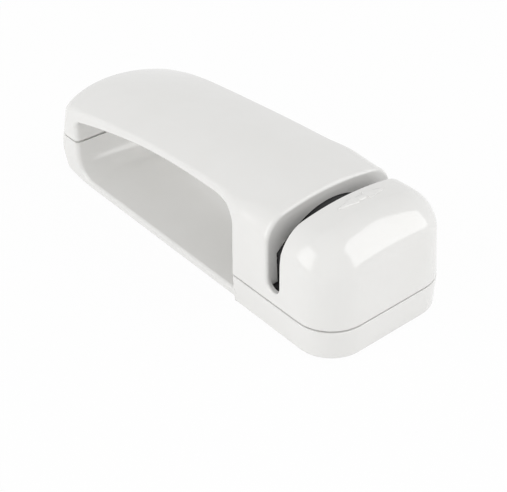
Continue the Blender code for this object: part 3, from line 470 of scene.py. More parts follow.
def base_form(name, plans):
    plan = plans[0]
    outward, core = outward_of(plan), core_of(plan)
    shoulder = CROWN_HEIGHT - edge_round(plan[:, 0])
    seam, scale = seam_frame(plan)
    rings = []

    def ring(inset, level):
        rings.append(placed(between(plans, level) - outward * np.reshape(inset, (-1, 1)), level))

    foot = plan - outward * (FOOT_TAPER + FOOT_ROUND)
    for share in CAP_SHARES[::-3]:
        rings.append(placed(foot + (core - foot) * share, 0.0))
    for a in spread(0, math.pi / 2, EDGE_STEPS):
        ring(FOOT_TAPER + FOOT_ROUND * (1 - math.sin(a)), FOOT_ROUND * (1 - math.cos(a)))
    end = seam - (SEAM_GAP / 2 + SEAM_EDGE) * scale
    for share in spread(0, 1, WALL_STEPS):
        level = FOOT_ROUND + (end - FOOT_ROUND) * share
        ring(wall_inset(level, shoulder), level)
    for a in np.linspace(math.pi / 2, 0, EDGE_STEPS):
        level = seam - (SEAM_GAP / 2 + SEAM_EDGE * (1 - math.cos(a))) * scale
        ring(wall_inset(level, shoulder) + SEAM_EDGE * (1 - math.sin(a)), level)
    return loft(name, rings + closing(rings[-1], core))


def hollow_form(name):
    """The hollow of the block, up to the wall behind the cells."""
    plan = block_plan()
    outward, core = outward_of(plan), core_of(plan)
    radius = np.maximum(edge_round(plan[:, 0]) - WALL, GAP)
    top = CROWN_HEIGHT - ROOF + NOSE_DROP * over_nose(plan[:, 0])
    shoulder = top - radius
    rings = []

    def ring(inset, level):
        inset = np.broadcast_to(inset, len(plan))
        rings.append(placed(plan - outward * inset[:, None], np.broadcast_to(level, len(plan))))

    rim = plan - outward * WALL
    for share in CAP_SHARES[::-3]:
        rings.append(placed(rim + (core - rim) * share, 0.0))
    ring(WALL, 0.0)
    ring(WALL, SEAM_HEIGHT)
    for a in np.linspace(0, math.pi / 2, HOLLOW_ROUND_STEPS):
        ring(WALL + lean(shoulder) + radius * (1 - math.cos(a)), shoulder + radius * math.sin(a))
    rim = plan - outward * (WALL + lean(shoulder) + radius)[:, None]
    for share in CAP_SHARES[::2]:
        rings.append(placed(rim + (core - rim) * share, top))
    rings.append(placed(core, top))
    body = loft(name, rings)
    inside_x = (BLOCK_REAR + WALL, NOSE_X)
    kept = block("kept", inside_x, (-BLOCK_HALF, BLOCK_HALF), (FLOOR, CROWN_HEIGHT))
    boolean(body, "INTERSECT", kept)
    return body


# Cutters with flared edges, which leave rounded rims


def flare(radius, turn):
    """(how far the rim has opened, depth below the wall) at a turn of its rounding."""
    return radius * (1 - np.cos(turn)), radius * (1 - np.sin(turn))


def rounded(corners, steps):
    outline = []
    count = len(corners)
    for i, (across, up, radius) in enumerate(corners):
        corner = Vector((across, up))
        back = (Vector(corners[i - 1][:2]) - corner).normalized()
        ahead = (Vector(corners[(i + 1) % count][:2]) - corner).normalized()
        if radius == 0:
            outline.append((across, up))
            continue
        half = back.angle(ahead) / 2
        centre = corner + (back + ahead).normalized() * radius / math.sin(half)
        first = corner + back * radius / math.tan(half) - centre
        turn = first.angle_signed(corner + ahead * radius / math.tan(half) - centre)
        for step in range(steps + 1):
            arm = first.copy()
            arm.rotate(Matrix.Rotation(-turn * step / steps, 2))
            outline.append(tuple(centre + arm))
    return np.array(outline)


def resampled(outline, spacing):
    points = []
    for a, b in zip(outline, np.roll(outline, -1, axis=0)):
        pieces = max(1, int(np.linalg.norm(b - a) / spacing))
        points += [a + (b - a) * k / pieces for k in range(pieces)]
    return np.array(points)


def opening_outline():
    peak_x = BLOCK_REAR - OPENING_PEAK
    peak_z = CROWN_HEIGHT - STRAP_THICKNESS

    def roof(x):
        return peak_z - (x - peak_x) ** 2 / (2 * OPENING_ARCH)

    front, back = BLOCK_REAR - 2 * OPENING_FRONT_TOP, OPENING_REAR + 2 * OPENING_REAR_TOP
    corners = [
        (BLOCK_REAR, ARM_HEIGHT, OPENING_FRONT_FOOT),
        (BLOCK_REAR, roof(BLOCK_REAR), OPENING_FRONT_TOP),
        *[(x, roof(x), 0) for x in np.linspace(front, back, ARCH_STEPS)],
        (OPENING_REAR, roof(OPENING_REAR), OPENING_REAR_TOP),
        (OPENING_REAR, ARM_HEIGHT, OPENING_REAR_FOOT),
    ]
    return resampled(rounded(corners, CORNER_STEPS), OPENING_SPACING)


def opening_cutter(shell):
    """A cutter through the loop, whose rims follow the shell's own side walls."""
    outline = opening_outline()
    normal = outward_of(outline)
    roof, floor = np.maximum(normal[:, 1], 0) ** 2, np.minimum(normal[:, 1], 0) ** 2
    front, rear = np.maximum(normal[:, 0], 0) ** 2, np.minimum(normal[:, 0], 0) ** 2
    radius = roof * ROOF_EDGE + floor * ARM_EDGE + front * FRONT_EDGE + rear * REAR_RIM
    mesh = bmesh.new()
    mesh.from_mesh(shell.data)
    tree = BVHTree.FromBMesh(mesh)
    mesh.free()
    beyond = 2 * BLOCK_HALF
    wall = np.full(len(outline), np.nan)
    for i, (x, z) in enumerate(outline + normal * radius[:, None] * RIM_PROBE):
        hit = tree.ray_cast(Vector((x, -beyond, z)), Vector((0, 1, 0)))[0]
        if hit is not None:
            wall[i] = -hit.y
    known = np.flatnonzero(~np.isnan(wall))
    wall = np.interp(np.arange(len(outline)), known, wall[known])
    opened, depth = flare(radius, FLARE_END)
    reach = (depth + GAP) * math.tan(FLARE_END)
    half = [(opened + reach, beyond), (opened + reach, wall + GAP)]
    for turn in np.linspace(FLARE_END, 0, FLARE_STEPS):
        opened, depth = flare(radius, turn)
        half.append((opened, wall - depth))
    rings = []
    for side, steps in ((-1, half), (1, half[::-1])):
        for opened, y in steps:
            flat = outline + normal * np.reshape(opened, (-1, 1))
            rings.append(np.column_stack([flat[:, 0], np.broadcast_to(side * y, len(flat)), flat[:, 1]]))
    return loft("opening", rings, caps=[range(len(outline))])


def section(x):
    """Near half of the outer form across the case at x: (y, z) from the seam to the crown's middle."""
    radius = edge_round(x)
    shoulder = CROWN_HEIGHT - radius
    levels = list(spread(SEAM_HEIGHT, shoulder, SECTION_STEPS))
    insets = [wall_inset(level, shoulder) for level in levels]
    for a in np.linspace(0, math.pi / 2, SECTION_STEPS):
        levels.append(shoulder + radius * math.sin(a))
        insets.append(lean(shoulder) + radius * (1 - math.cos(a)))
    y = list(np.array(insets) - BLOCK_HALF)
    y += list(np.linspace(y[-1], 0, SECTION_STEPS)[1:])
    levels += [CROWN_HEIGHT] * (SECTION_STEPS - 1)
    y = np.array(y)
    points = placed(np.column_stack([np.full_like(y, x), y]), np.array(levels))
    return points[:, 1:]


def slot_cutter():
    """A band that follows the case's section, as wide as the slot, with a flared rim."""
    rising = slice(2 * SECTION_STEPS)
    half_width = (SLOT_FRONT - SLOT_SWEEP - SLOT_REAR) / 2
    middle, low = SLOT_REAR + half_width, SLOT_BOTTOM + half_width
    lines = {}
    for x in (SLOT_REAR, SLOT_FRONT):
        near = section(x)
        start_y = np.interp(low, near[rising, 1], near[rising, 0])
        near = np.concatenate([[(start_y, low)], near[near[:, 1] > low + CLEAR]])
        run = np.concatenate([[0], np.cumsum(np.linalg.norm(np.diff(near, axis=0), axis=1))])
        even = np.linspace(0, run[-1], SLOT_STEPS)
        near = np.column_stack([np.interp(even, run, near[:, k]) for k in (0, 1)])
        lines[x] = np.concatenate([near, near[-2::-1] * (-1, 1)])
    angles = np.linspace(math.pi, math.tau, SLOT_END_STEPS)[1:-1]
    near_wall = section(middle)[rising]

    def sweep(z):
        start, end = SLOT_SWEEP_RISE
        return -SLOT_SWEEP * (1 - smooth_step((z - start) / (end - start)))

    def bottom(side, order):
        points, away, radius = [], [], []
        for a in order:
            x, z = middle + half_width * math.cos(a), low + half_width * math.sin(a)
            points.append((x, -side * np.interp(z, near_wall[:, 1], near_wall[:, 0]), z))
            away.append((math.cos(a), 0, math.sin(a)))
            radius.append(SLOT_LIP + (NOSE_LIP - SLOT_LIP) * (1 + math.cos(a)) / 2)
        normal = [(0, side * math.cos(DRAFT), math.sin(DRAFT))] * len(points)
        return points, away, normal, radius

    def line(x, away, radius, forward):
        flat = lines[x]
        tangent = np.gradient(flat, axis=0)
        normal = np.column_stack([-tangent[:, 1], tangent[:, 0]])
        normal /= np.linalg.norm(normal, axis=1)[:, None]
        full = [(x + (0 if forward else sweep(z)), y, z) for y, z in flat]
        outer = [(0, ny, nz) for ny, nz in normal]
        order = slice(None, None, 1 if forward else -1)
        return full[order], [away] * len(full), outer[order], [radius] * len(full)

    parts = [
        line(SLOT_REAR, (-1, 0, 0), SLOT_LIP, True),
        bottom(1, angles),
        line(SLOT_FRONT, (1, 0, 0), NOSE_LIP, False),
        bottom(-1, angles[::-1]),
    ]
    joined = [np.concatenate([np.array(part[k], float) for part in parts]) for k in range(4)]
    points, away, normal, radius = joined
    opened, depth = flare(radius, FLARE_END)
    widest = opened + (depth + GAP) * math.tan(FLARE_END)
    steps = [(widest, np.full_like(radius, -SLOT_ABOVE)), (widest, np.full_like(radius, -GAP))]
    for turn in np.linspace(FLARE_END, 0, FLARE_STEPS):
        steps.append(flare(radius, turn))
    steps.append((np.zeros_like(radius), np.full_like(radius, SLOT_DEPTH)))
    rings = [points - normal * d[:, None] + away * o[:, None] for o, d in steps]
    rear, ends = len(lines[SLOT_REAR]), len(angles)
    front = rear + ends
    total = len(points)
    caps = [[i, i + 1, front + rear - 2 - i, front + rear - 1 - i] for i in range(rear - 1)]
    caps.append(list(range(rear - 1, front + 1)))
    caps.append([*range(front + rear - 1, total), 0])
    return loft("slot", rings, caps=caps)


def around_window(name, margin, x, foot):
    """All that lies beside and above the window in the slot's rear wall, from x[0] to x[1]."""
    wide, far = 2 * BLOCK_HALF, 2 * CROWN_HEIGHT
    y = np.linspace(margin - WINDOW_HALF, WINDOW_HALF - margin, WINDOW_STEPS)
    arch = zip(y, WINDOW_TOP - margin - y * y / (2 * WINDOW_ARCH))
    inner = [(y[0], foot), *arch, (y[-1], foot)]
    return prism(name, [*inner, (wide, foot), (wide, far), (-wide, far), (-wide, foot)], "X", *x)


# Case halves

HEATER_Z = 29.5 * MM
HEAD_RADIUS = 2.4 * MM
SCREW_HOLE = 1.4 * MM
SCREW_SEATS = [
    (NOSE_X - 9.474 * MM, -18.646 * MM, 3.8 * MM),
    (NOSE_X - 9.474 * MM, 18.646 * MM, 3.8 * MM),
    (REAR_X + 12.6 * MM, 0.0, 9.8 * MM),
]
BOSS_RADIUS = 3.0 * MM
POST_RADIUS = 3.9 * MM
PILOT_DEPTH = 15.0 * MM
HOLDER_TOP = 25.6 * MM
GUIDE_Y = 10.0 * MM
GUIDE_SEAT_RADIUS = 3.15 * MM
GUIDE_SEAT_X = NOSE_X - 3.2 * MM
RIB_Y = 10.0 * MM
RIB_HALF = 0.7 * MM
STOP_X = (NOSE_X - 19.6 * MM, NOSE_X - 18.2 * MM)
STOP_DEPTH = 1.6 * MM

# Battery bay, with the door's pivots and its finger scoop
BAY_X = (NOSE_X - 44.8 * MM, NOSE_X - 33.5 * MM)
BAY_HALF = 23.3 * MM
PIVOT_AT = (BAY_X[0] + 1.25 * MM, 1.4 * MM)
PIVOT_RADIUS = 0.8 * MM
PIVOT_REACH = 1.5 * MM
SCOOP_AT = (BAY_X[1] + 1.0 * MM, -3.0 * MM)
SCOOP_RADIUS = 4.0 * MM
SCOOP_HALF = 7.0 * MM
SCOOP_STEPS = 64

# Pillar and cradle under the switch
CRADLE_X = (0.6 * MM, 4.0 * MM)
CRADLE_TOP = 26.0 * MM
CRADLE_HALF = 6.5 * MM
CRADLE_THICKNESS = 2.4 * MM
CHEEK = 1.2 * MM
PILLAR_HALF = 4.0 * MM


def reveal(low, high):
    """The seam stands wider open on the rear wall of the finger opening."""
    x = (OPENING_REAR - REVEAL_DEPTH, OPENING_REAR + REVEAL_DEPTH)
    return block("reveal", x, (-BLOCK_HALF, BLOCK_HALF), (low, high))


def make_upper_case(look):
    hollow = hollow_form("hollow")
    far = CROWN_HEIGHT + OVERLAP
    stop_inner = BLOCK_HALF - WALL - STOP_DEPTH - lean(HEATER_Z)
    inside = [rod("boss", "Z", (x, y), BOSS_RADIUS, 0, far) for x, y, _ in SCREW_SEATS[:2]]
    for side in (-1, 1):
        guide = (side * GUIDE_Y, HEATER_Z)
        inside.append(rod("seat", "X", guide, GUIDE_SEAT_RADIUS, GUIDE_SEAT_X, NOSE_X))
        rib_y = (side * RIB_Y - RIB_HALF, side * RIB_Y + RIB_HALF)
        inside.append(block("rib", BAY_X, rib_y, (HOLDER_TOP + GAP, far)))
        stop_y = sorted((side * stop_inner, side * BLOCK_HALF))
        inside.append(block("stop", STOP_X, stop_y, (0, HEATER_Z)))
    collar_x = (SLOT_REAR - COLLAR, SLOT_REAR - COLLAR_INSET)
    inside.append(around_window("collar", 0.0, collar_x, COLLAR_FOOT))
    boolean(hollow, "DIFFERENCE", *inside)
    shell = upper_form("upper_case", case_plans(WIDEN_RUN))
    opening = opening_cutter(shell)
    boolean(shell, "DIFFERENCE", hollow, opening, slot_cutter())
    for x, y, seat in SCREW_SEATS:
        boolean(shell, "DIFFERENCE", rod("pilot", "Z", (x, y), SCREW_HOLE, 0, seat + PILOT_DEPTH))
    boolean(shell, "DIFFERENCE", reveal(0, REAR_SEAM_HEIGHT + REVEAL / 2))
    return dress(shell, look)


def make_lower_case(look):
    tray = hollow_form("tray")
    above = block("above", (0, LENGTH), (-LENGTH, LENGTH), (SEAM_HEIGHT + OVERLAP, LENGTH))
    posts = [rod("post", "Z", (x, y), POST_RADIUS, 0, LENGTH) for x, y, _ in SCREW_SEATS[:2]]
    boolean(tray, "DIFFERENCE", above, *posts)
    shell = base_form("lower_case", case_plans(STEP_RUN))
    opening = opening_cutter(shell)
    boolean(shell, "DIFFERENCE", tray, opening)
    for x, y, seat in SCREW_SEATS:
        head = rod("head", "Z", (x, y), HEAD_RADIUS + GAP, -OVERLAP, seat - GAP)
        boolean(shell, "DIFFERENCE", head, rod("hole", "Z", (x, y), SCREW_HOLE, 0, CROWN_HEIGHT))
    bay = block("bay", BAY_X, (-BAY_HALF, BAY_HALF), (-OVERLAP, FLOOR + OVERLAP))
    pivot_end = BAY_HALF + PIVOT_REACH
    pivots = rod("pivots", "Y", PIVOT_AT, PIVOT_RADIUS, -pivot_end, pivot_end)
    scoop = rod("scoop", "Y", SCOOP_AT, SCOOP_RADIUS, -SCOOP_HALF, SCOOP_HALF, SCOOP_STEPS)
    gap = reveal(REAR_SEAM_HEIGHT - REVEAL / 2, CROWN_HEIGHT)
    boolean(shell, "DIFFERENCE", bay, pivots, scoop, gap)
    boolean(shell, "UNION", *switch_cradle())
    return dress(shell, look)


def switch_cradle():
    """Pillar on the tray's floor that holds the switch between two cheeks."""
    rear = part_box("switch_body")[0][0]
    x = (rear + CRADLE_X[0], rear + CRADLE_X[1])
    pillar_z = (FLOOR - OVERLAP, CRADLE_TOP - OVERLAP)
    pillar = block("pillar", x, (-PILLAR_HALF, PILLAR_HALF), pillar_z)
    foot = CRADLE_TOP - CRADLE_THICKNESS
    outline = [
        (-CRADLE_HALF, foot),
        (CRADLE_HALF, foot),
        (CRADLE_HALF, HEATER_Z),
        (CRADLE_HALF - CHEEK, HEATER_Z),
        (CRADLE_HALF - CHEEK, CRADLE_TOP),
        (CHEEK - CRADLE_HALF, CRADLE_TOP),
        (CHEEK - CRADLE_HALF, HEATER_Z),
        (-CRADLE_HALF, HEATER_Z),
    ]
    return [pillar, prism("cradle", outline, "X", *x)]


# Smaller pieces

REBATE_FIT = 0.3 * MM

# Arrow: (place along it, half width), both in millimetres
ARROW_STATIONS = (
    (-7.2, 0.35),
    (0.3, 2.0),
    (0.8, 1.3),
    (4.2, 1.3),
    (4.4, 2.4),
    (12.4, 0.35),
)
ARROW_X = NOSE_X - 18.4 * MM
ARROW_RELIEF = 0.35 * MM
ARROW_BEVEL = 0.3 * MM
ARROW_STEPS = 60
ARROW_CREASE = 50

# Release sheet
THREAD = 0.5 * MM
CLOTH = 0.12 * MM
WAVE = 0.03 * MM
SHEET_CORNER = 4.5 * MM
SHEET_STEPS = (133, 31)

# Screws: the head's profile is in shares of its height and of its radius
SCREW_HEAD = 2.2 * MM
SCREW_CORE = 1.0 * MM
SCREW_CREST = 1.28 * MM
SCREW_PITCH = 1.0 * MM
SCREW_TIP = 0.25
SCREW_AROUND = 32
SCREW_RINGS = 100
HEAD_PROFILE = ((0.0, 0.3), (0.0, 0.62), (0.1, 0.8), (0.3, 0.95), (0.5, 1.0), (1.0, 1.0))
RECESS_LONG = 1.5 * MM
RECESS_NARROW = 0.3 * MM
RECESS_DEPTH = 1.3 * MM
RECESS_TAPER = (1.2, 0.5)

# Carriage springs
WIRE = 0.25 * MM
TURNS = 8
TURN_STEPS = 28
WIRE_STEPS = 10
END_CLOSENESS = 0.1
SPRING_CREASE = 80


def make_carrier(look):
    """The heater carrier, with a rebate round its face for the rim of the slot's rear wall."""
    data = nodes["heater_carrier"].data
    points = [v.co[:] for v in data.vertices]
    faces = [p.vertices[:] for p in data.polygons]
    carrier = mesh_object("carrier_plate", points, faces, CARRIER_WELD)
    x = (SLOT_REAR - COLLAR - REBATE_FIT / 4, SHOULDER_END)
    boolean(carrier, "DIFFERENCE", around_window("rebate", REBATE_FIT, x, COLLAR_FOOT - REBATE_FIT))
    return dress(carrier, look)


def make_arrow(look):
    """A raised arrow along the slot, with bevelled edges, sunk a little into the crown."""
    y, half = np.array(ARROW_STATIONS).T * MM
    along = np.unique(np.concatenate([np.linspace(y[0], y[-1], ARROW_STEPS), y]))
    rings = []
    for at in along:
        width = np.interp(at, y, half)
        flat = max(width - ARROW_BEVEL, width / 3)
        profile = (
            (-width, -ARROW_RELIEF),
            (-width, 0.0),
            (-flat, ARROW_RELIEF),
            (0.0, ARROW_RELIEF),
            (flat, ARROW_RELIEF),
            (width, 0.0),
            (width, -ARROW_RELIEF),
        )
        ring = []
        for across, rise in profile:
            ring.append((ARROW_X + across, at, float(top_z(ARROW_X + across, at)) + rise))
        rings.append(ring)
    return dress(loft("direction_arrow", rings, caps=[range(len(rings[0]))]), look, ARROW_CREASE)


def make_cover(look):
    """The woven release sheet over the heater: a thin cloth whose threads pass over and under."""
    low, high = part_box("heater_cover")
    columns, rows = SHEET_STEPS
    y, z = np.linspace(low[1], high[1], columns), np.linspace(low[2], high[2], rows)
    grid_y, grid_z = (g.ravel() for g in np.meshgrid(y, z, indexing="ij"))
    middle = (low[2] + high[2]) / 2
    past = np.maximum(0.0, np.abs(grid_y) - (high[1] - SHEET_CORNER))
    cut = SHEET_CORNER - np.sqrt(np.maximum(0.0, SHEET_CORNER**2 - past**2))
    grid_z = middle + (grid_z - middle) * (1 - cut / (high[2] - middle))
    weave = WAVE * np.sin(math.pi * grid_y / THREAD) * np.sin(math.pi * grid_z / THREAD)
    points, faces = [], []
    for side in (0, 1):
        x = low[0] + WAVE + CLOTH * side + weave
        points += list(np.column_stack([x, grid_y, grid_z]))
    size = columns * rows
    for i in range(columns - 1):
        for j in range(rows - 1):
            a = i * rows + j
            faces.append((a, a + 1, a + rows + 1, a + rows))
            faces.append((size + a, size + a + rows, size + a + rows + 1, size + a + 1))
    rim = [i * rows for i in range(columns)]
    rim += [size - rows + j for j in range(1, rows)]
    rim += [i * rows + rows - 1 for i in range(columns - 2, -1, -1)]
    rim += list(range(rows - 2, 0, -1))
    for a, b in zip(rim, rim[1:] + rim[:1]):
        faces.append((a, b, size + b, size + a))
    return dress(mesh_object("release_sheet", points, faces), look)


def make_screw(name, node, look):
    """Pan head with a cross recess, and a threaded shank."""
    low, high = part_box(node)
    x, y = (low[0] + high[0]) / 2, (low[1] + high[1]) / 2
    angles = np.linspace(0, math.tau, SCREW_AROUND, endpoint=False)
    rings = []

    def ring(radius, z):
        level = np.full(SCREW_AROUND, z)
        rings.append(np.column_stack([x + np.cos(angles) * radius, y + np.sin(angles) * radius, level]))

    for up, out in HEAD_PROFILE:
        ring(HEAD_RADIUS * out, low[2] + SCREW_HEAD * up)
    for z in np.linspace(low[2] + SCREW_HEAD, high[2], SCREW_RINGS):
        turn = (z / SCREW_PITCH - angles / math.tau) % 1.0
        tip = np.clip((high[2] - z) / (2 * SCREW_PITCH), SCREW_TIP, 1.0)
        thread = (SCREW_CREST - SCREW_CORE) * np.clip(1 - np.abs(turn - 0.5) * 4, 0, 1)
        ring((SCREW_CORE + thread) * tip, z)
    screw = loft(name, rings, caps=[range(SCREW_AROUND)])
    for wide, deep in ((RECESS_LONG, RECESS_NARROW), (RECESS_NARROW, RECESS_LONG)):
        flat = [(-wide, -deep), (wide, -deep), (wide, deep), (-wide, deep)]
        taper = []
        for z, share in zip((low[2] - OVERLAP, low[2] + RECESS_DEPTH), RECESS_TAPER):
            taper.append([(x + a * share, y + b * share, z) for a, b in flat])
        boolean(screw, "DIFFERENCE", loft("recess", taper, caps=[range(4)]))
    return dress(screw, look)


def make_spring(name, node, look):
    """A wound wire whose end turns lie close, in the place of its solid."""
    low, high = (np.array(c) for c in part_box(node))
    middle = (low + high) / 2
    radius = (high[1] - low[1]) / 2 - WIRE
    travel = high[0] - low[0] - 2 * WIRE
    ahead = np.array((1, 0, 0))
    around = np.linspace(0, math.tau, WIRE_STEPS, endpoint=False)
    rings = []
    for share in np.linspace(0, 1, TURNS * TURN_STEPS + 1):
        pace = share - END_CLOSENESS * math.sin(math.tau * share)
        a = math.tau * TURNS * share
        out = np.array((0, math.cos(a), math.sin(a)))
        centre = np.array((low[0] + WIRE + travel * pace, middle[1], middle[2])) + radius * out
        rings.append([centre + WIRE * (math.cos(b) * out + math.sin(b) * ahead) for b in around])
    return dress(loft(name, rings, caps=[range(WIRE_STEPS)]), look, SPRING_CREASE)


# Looks

DRIFT_SCALE = 60.0
DRIFT_DETAIL = 4.0
GRAIN_DETAIL = 2.0
NOISE_RANGE = (0.3, 0.7)

# Colour, the shade it drifts to, roughness from and to, grain's scale, relief, metallic, grain's stretch
SURFACES = {
    "white_case": ((0.80, 0.795, 0.78), (0.785, 0.78, 0.762), (0.08, 0.12), 1400.0, 0.3e-6),
    "black_jaws": ((0.016, 0.016, 0.017), (0.022, 0.022, 0.023), (0.42, 0.6), 2500.0, 8e-6),
    "grey_moulding": ((0.24, 0.24, 0.25), (0.28, 0.28, 0.29), (0.4, 0.55), 2500.0, 6e-6),
    "steel": ((0.55, 0.55, 0.56), (0.48, 0.48, 0.49), (0.2, 0.36), 900.0, 4e-6, 1.0, (1, 1, 12)),
    "heater_alloy": ((0.42, 0.40, 0.38), (0.33, 0.30, 0.29), (0.3, 0.5), 700.0, 4e-6, 1.0, (1, 0.1, 6)),
    "contact_metal": ((0.62, 0.60, 0.56), (0.55, 0.53, 0.49), (0.16, 0.3), 900.0, 3e-6, 1.0),
    "cover_cloth": ((0.030, 0.026, 0.022), (0.042, 0.036, 0.030), (0.45, 0.65), 2200.0, 2e-5),
    "silicone": ((0.45, 0.10, 0.06), (0.38, 0.085, 0.05), (0.5, 0.65), 2000.0, 8e-6),
    "cell_sleeve": ((0.05, 0.07, 0.10), (0.06, 0.085, 0.12), (0.2, 0.3), 900.0, 2e-6),
    "red_wire": ((0.55, 0.02, 0.02), (0.46, 0.02, 0.02), (0.35, 0.5), 2500.0, 4e-6),
    "white_wire": ((0.70, 0.70, 0.70), (0.62, 0.62, 0.62), (0.35, 0.5), 2500.0, 4e-6),
    "black_wire": ((0.012, 0.012, 0.012), (0.02, 0.02, 0.02), (0.35, 0.5), 2500.0, 4e-6),
}
BAND_COLOUR = (0.42, 0.40, 0.36)
BAND_AT = 16.0 * MM
BAND_WIDTH = 3.0 * MM


def noise(tree, scale, detail, stretch=None):
    place = tree.nodes.new("ShaderNodeTexCoord")
    socket = place.outputs["Object"]
    if stretch is not None:
        mapping = tree.nodes.new("ShaderNodeMapping")
        mapping.inputs["Scale"].default_value = stretch
        tree.links.new(socket, mapping.inputs["Vector"])
        socket = mapping.outputs["Vector"]
    made = tree.nodes.new("ShaderNodeTexNoise")
    made.inputs["Scale"].default_value = scale
    made.inputs["Detail"].default_value = detail
    tree.links.new(socket, made.inputs["Vector"])
    return made.outputs["Fac"]


def ranged(tree, value, low, high):
    made = tree.nodes.new("ShaderNodeMapRange")
    made.inputs["From Min"].default_value, made.inputs["From Max"].default_value = NOISE_RANGE
    made.inputs["To Min"].default_value, made.inputs["To Max"].default_value = low, high
    tree.links.new(value, made.inputs["Value"])
    return made.outputs["Result"]


def mixed(tree, factor, first, second):
    made = tree.nodes.new("ShaderNodeMix")
    made.data_type = "RGBA"
    made.inputs["A"].default_value = (*first, 1.0)
    made.inputs["B"].default_value = (*second, 1.0)
    tree.links.new(factor, made.inputs["Factor"])
    return made.outputs["Result"]


def math_node(tree, operation):
    made = tree.nodes.new("ShaderNodeMath")
    made.operation = operation
    return made


def surface(name, colour, shade, rough, grain, bump, metallic=0.0, stretch=None):
    """A moulded, plated or coated surface: a colour that drifts, grain in its gloss and a fine relief."""
    made = bpy.data.materials.new(name)
    made.use_nodes = True
    tree = made.node_tree
    shader = tree.nodes["Principled BSDF"]
    shader.inputs["Metallic"].default_value = metallic
    drift = ranged(tree, noise(tree, DRIFT_SCALE, DRIFT_DETAIL), 0.0, 1.0)
    tree.links.new(mixed(tree, drift, colour, shade), shader.inputs["Base Color"])
    fine = noise(tree, grain, GRAIN_DETAIL, stretch)
    tree.links.new(ranged(tree, fine, *rough), shader.inputs["Roughness"])
    relief = tree.nodes.new("ShaderNodeBump")
    relief.inputs["Strength"].default_value = 1.0
    relief.inputs["Distance"].default_value = bump
    tree.links.new(fine, relief.inputs["Height"])
    tree.links.new(relief.outputs["Normal"], shader.inputs["Normal"])
    return made


def band_cells(look):
    """A plain pale band round each end of the cells' sleeve."""
    tree = look.node_tree
    shader = tree.nodes["Principled BSDF"]
    sleeve_colour = shader.inputs["Base Color"].links[0].from_socket
    place = tree.nodes.new("ShaderNodeTexCoord")
    split = tree.nodes.new("ShaderNodeSeparateXYZ")
    tree.links.new(place.outputs["Object"], split.inputs[0])
    size = math_node(tree, "ABSOLUTE")
    tree.links.new(split.outputs["Y"], size.inputs[0])
    near = math_node(tree, "COMPARE")
    near.inputs[1].default_value, near.inputs[2].default_value = BAND_AT, BAND_WIDTH / 2
    tree.links.new(size.outputs[0], near.inputs[0])
    mix = tree.nodes.new("ShaderNodeMix")
    mix.data_type = "RGBA"
    mix.inputs["B"].default_value = (*BAND_COLOUR, 1.0)
    tree.links.new(near.outputs[0], mix.inputs["Factor"])
    tree.links.new(sleeve_colour, mix.inputs["A"])
    tree.links.new(mix.outputs["Result"], shader.inputs["Base Color"])


LOOKS = {name: surface(name, *values) for name, values in SURFACES.items()}
band_cells(LOOKS["cell_sleeve"])

for part in frame["record"]["subparts"]:
    data = nodes[part["node"]].data
    data.materials.clear()
    data.materials.append(LOOKS[part["material_slot"]])

# Pieces

for make, node in ((make_upper_case, "upper_shell"), (make_lower_case, "base_shell")):
    piece = make(LOOKS["white_case"])
    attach(piece, "case")
    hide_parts(node)

arrow = make_arrow(LOOKS["white_case"])
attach(arrow, "case")

carrier = make_carrier(LOOKS["black_jaws"])
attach(carrier, "case")
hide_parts("heater_carrier")

cover = make_cover(LOOKS["cover_cloth"])
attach(cover, "case")
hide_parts("heater_cover")

for name, node in (("near_spring", "near_carriage_spring"), ("far_spring", "far_carriage_spring")):
    spring = make_spring(name, node, LOOKS["steel"])
    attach(spring, "case")
    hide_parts(node)
    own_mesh(spring)

for name, node in (
    ("near_case_screw", "near_nose_screw"),
    ("far_case_screw", "far_nose_screw"),
    ("rear_case_screw", "rear_screw"),
):
    screw = make_screw(name, node, LOOKS["steel"])
    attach(screw, "case")
    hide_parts(node)


# Stage, lamps and camera

FLOOR_HALF = 3.0
FLOOR_DROP = 0.2 * MM
FLOOR_GLOW = 0.95
PAPER = (0.9, 0.9, 0.9, 1.0)
AMBIENT = (0.72, 0.72, 0.72)
BACKGROUND = (1.0, 1.0, 1.0)

# Azimuth and elevation in degrees, distance, width, height, radiance, and the rays that meet the lamp
LAMPS = {
    "left_softbox": (255, 24, 1.0, 0.75, 0.9, 1.4, "diffuse"),
    "right_softbox": (38, 24, 1.0, 0.75, 0.9, 1.3, "diffuse"),
    "front_fill": (310, 20, 1.0, 0.9, 0.6, 0.5, "diffuse"),
    "left_card": (255, 22, 2.0, 1.3, 1.86, 2.3, "glossy"),
    "right_card": (37, 29, 2.0, 1.74, 2.5, 2.6, "glossy"),
}

CAMERA_AT = (NOSE_X + 182.89 * MM, -190.87 * MM, 222.15 * MM)
CAMERA_AZIMUTH = math.radians(53.25)
CAMERA_ELEVATION = math.radians(35.23)
CAMERA_ROLL = math.radians(3.05)
CAMERA_LENS = 74.6194
CAMERA_SENSOR = 36.0
CAMERA_NEAR = 0.01


def seen_ray(tree):
    """1 for rays that show the background: camera, glossy and transmission."""
    path = tree.nodes.new("ShaderNodeLightPath")
    total = path.outputs["Is Camera Ray"]
    for name in ("Is Glossy Ray", "Is Transmission Ray"):
        step = math_node(tree, "MAXIMUM")
        tree.links.new(total, step.inputs[0])
        tree.links.new(path.outputs[name], step.inputs[1])
        total = step.outputs[0]
    return total


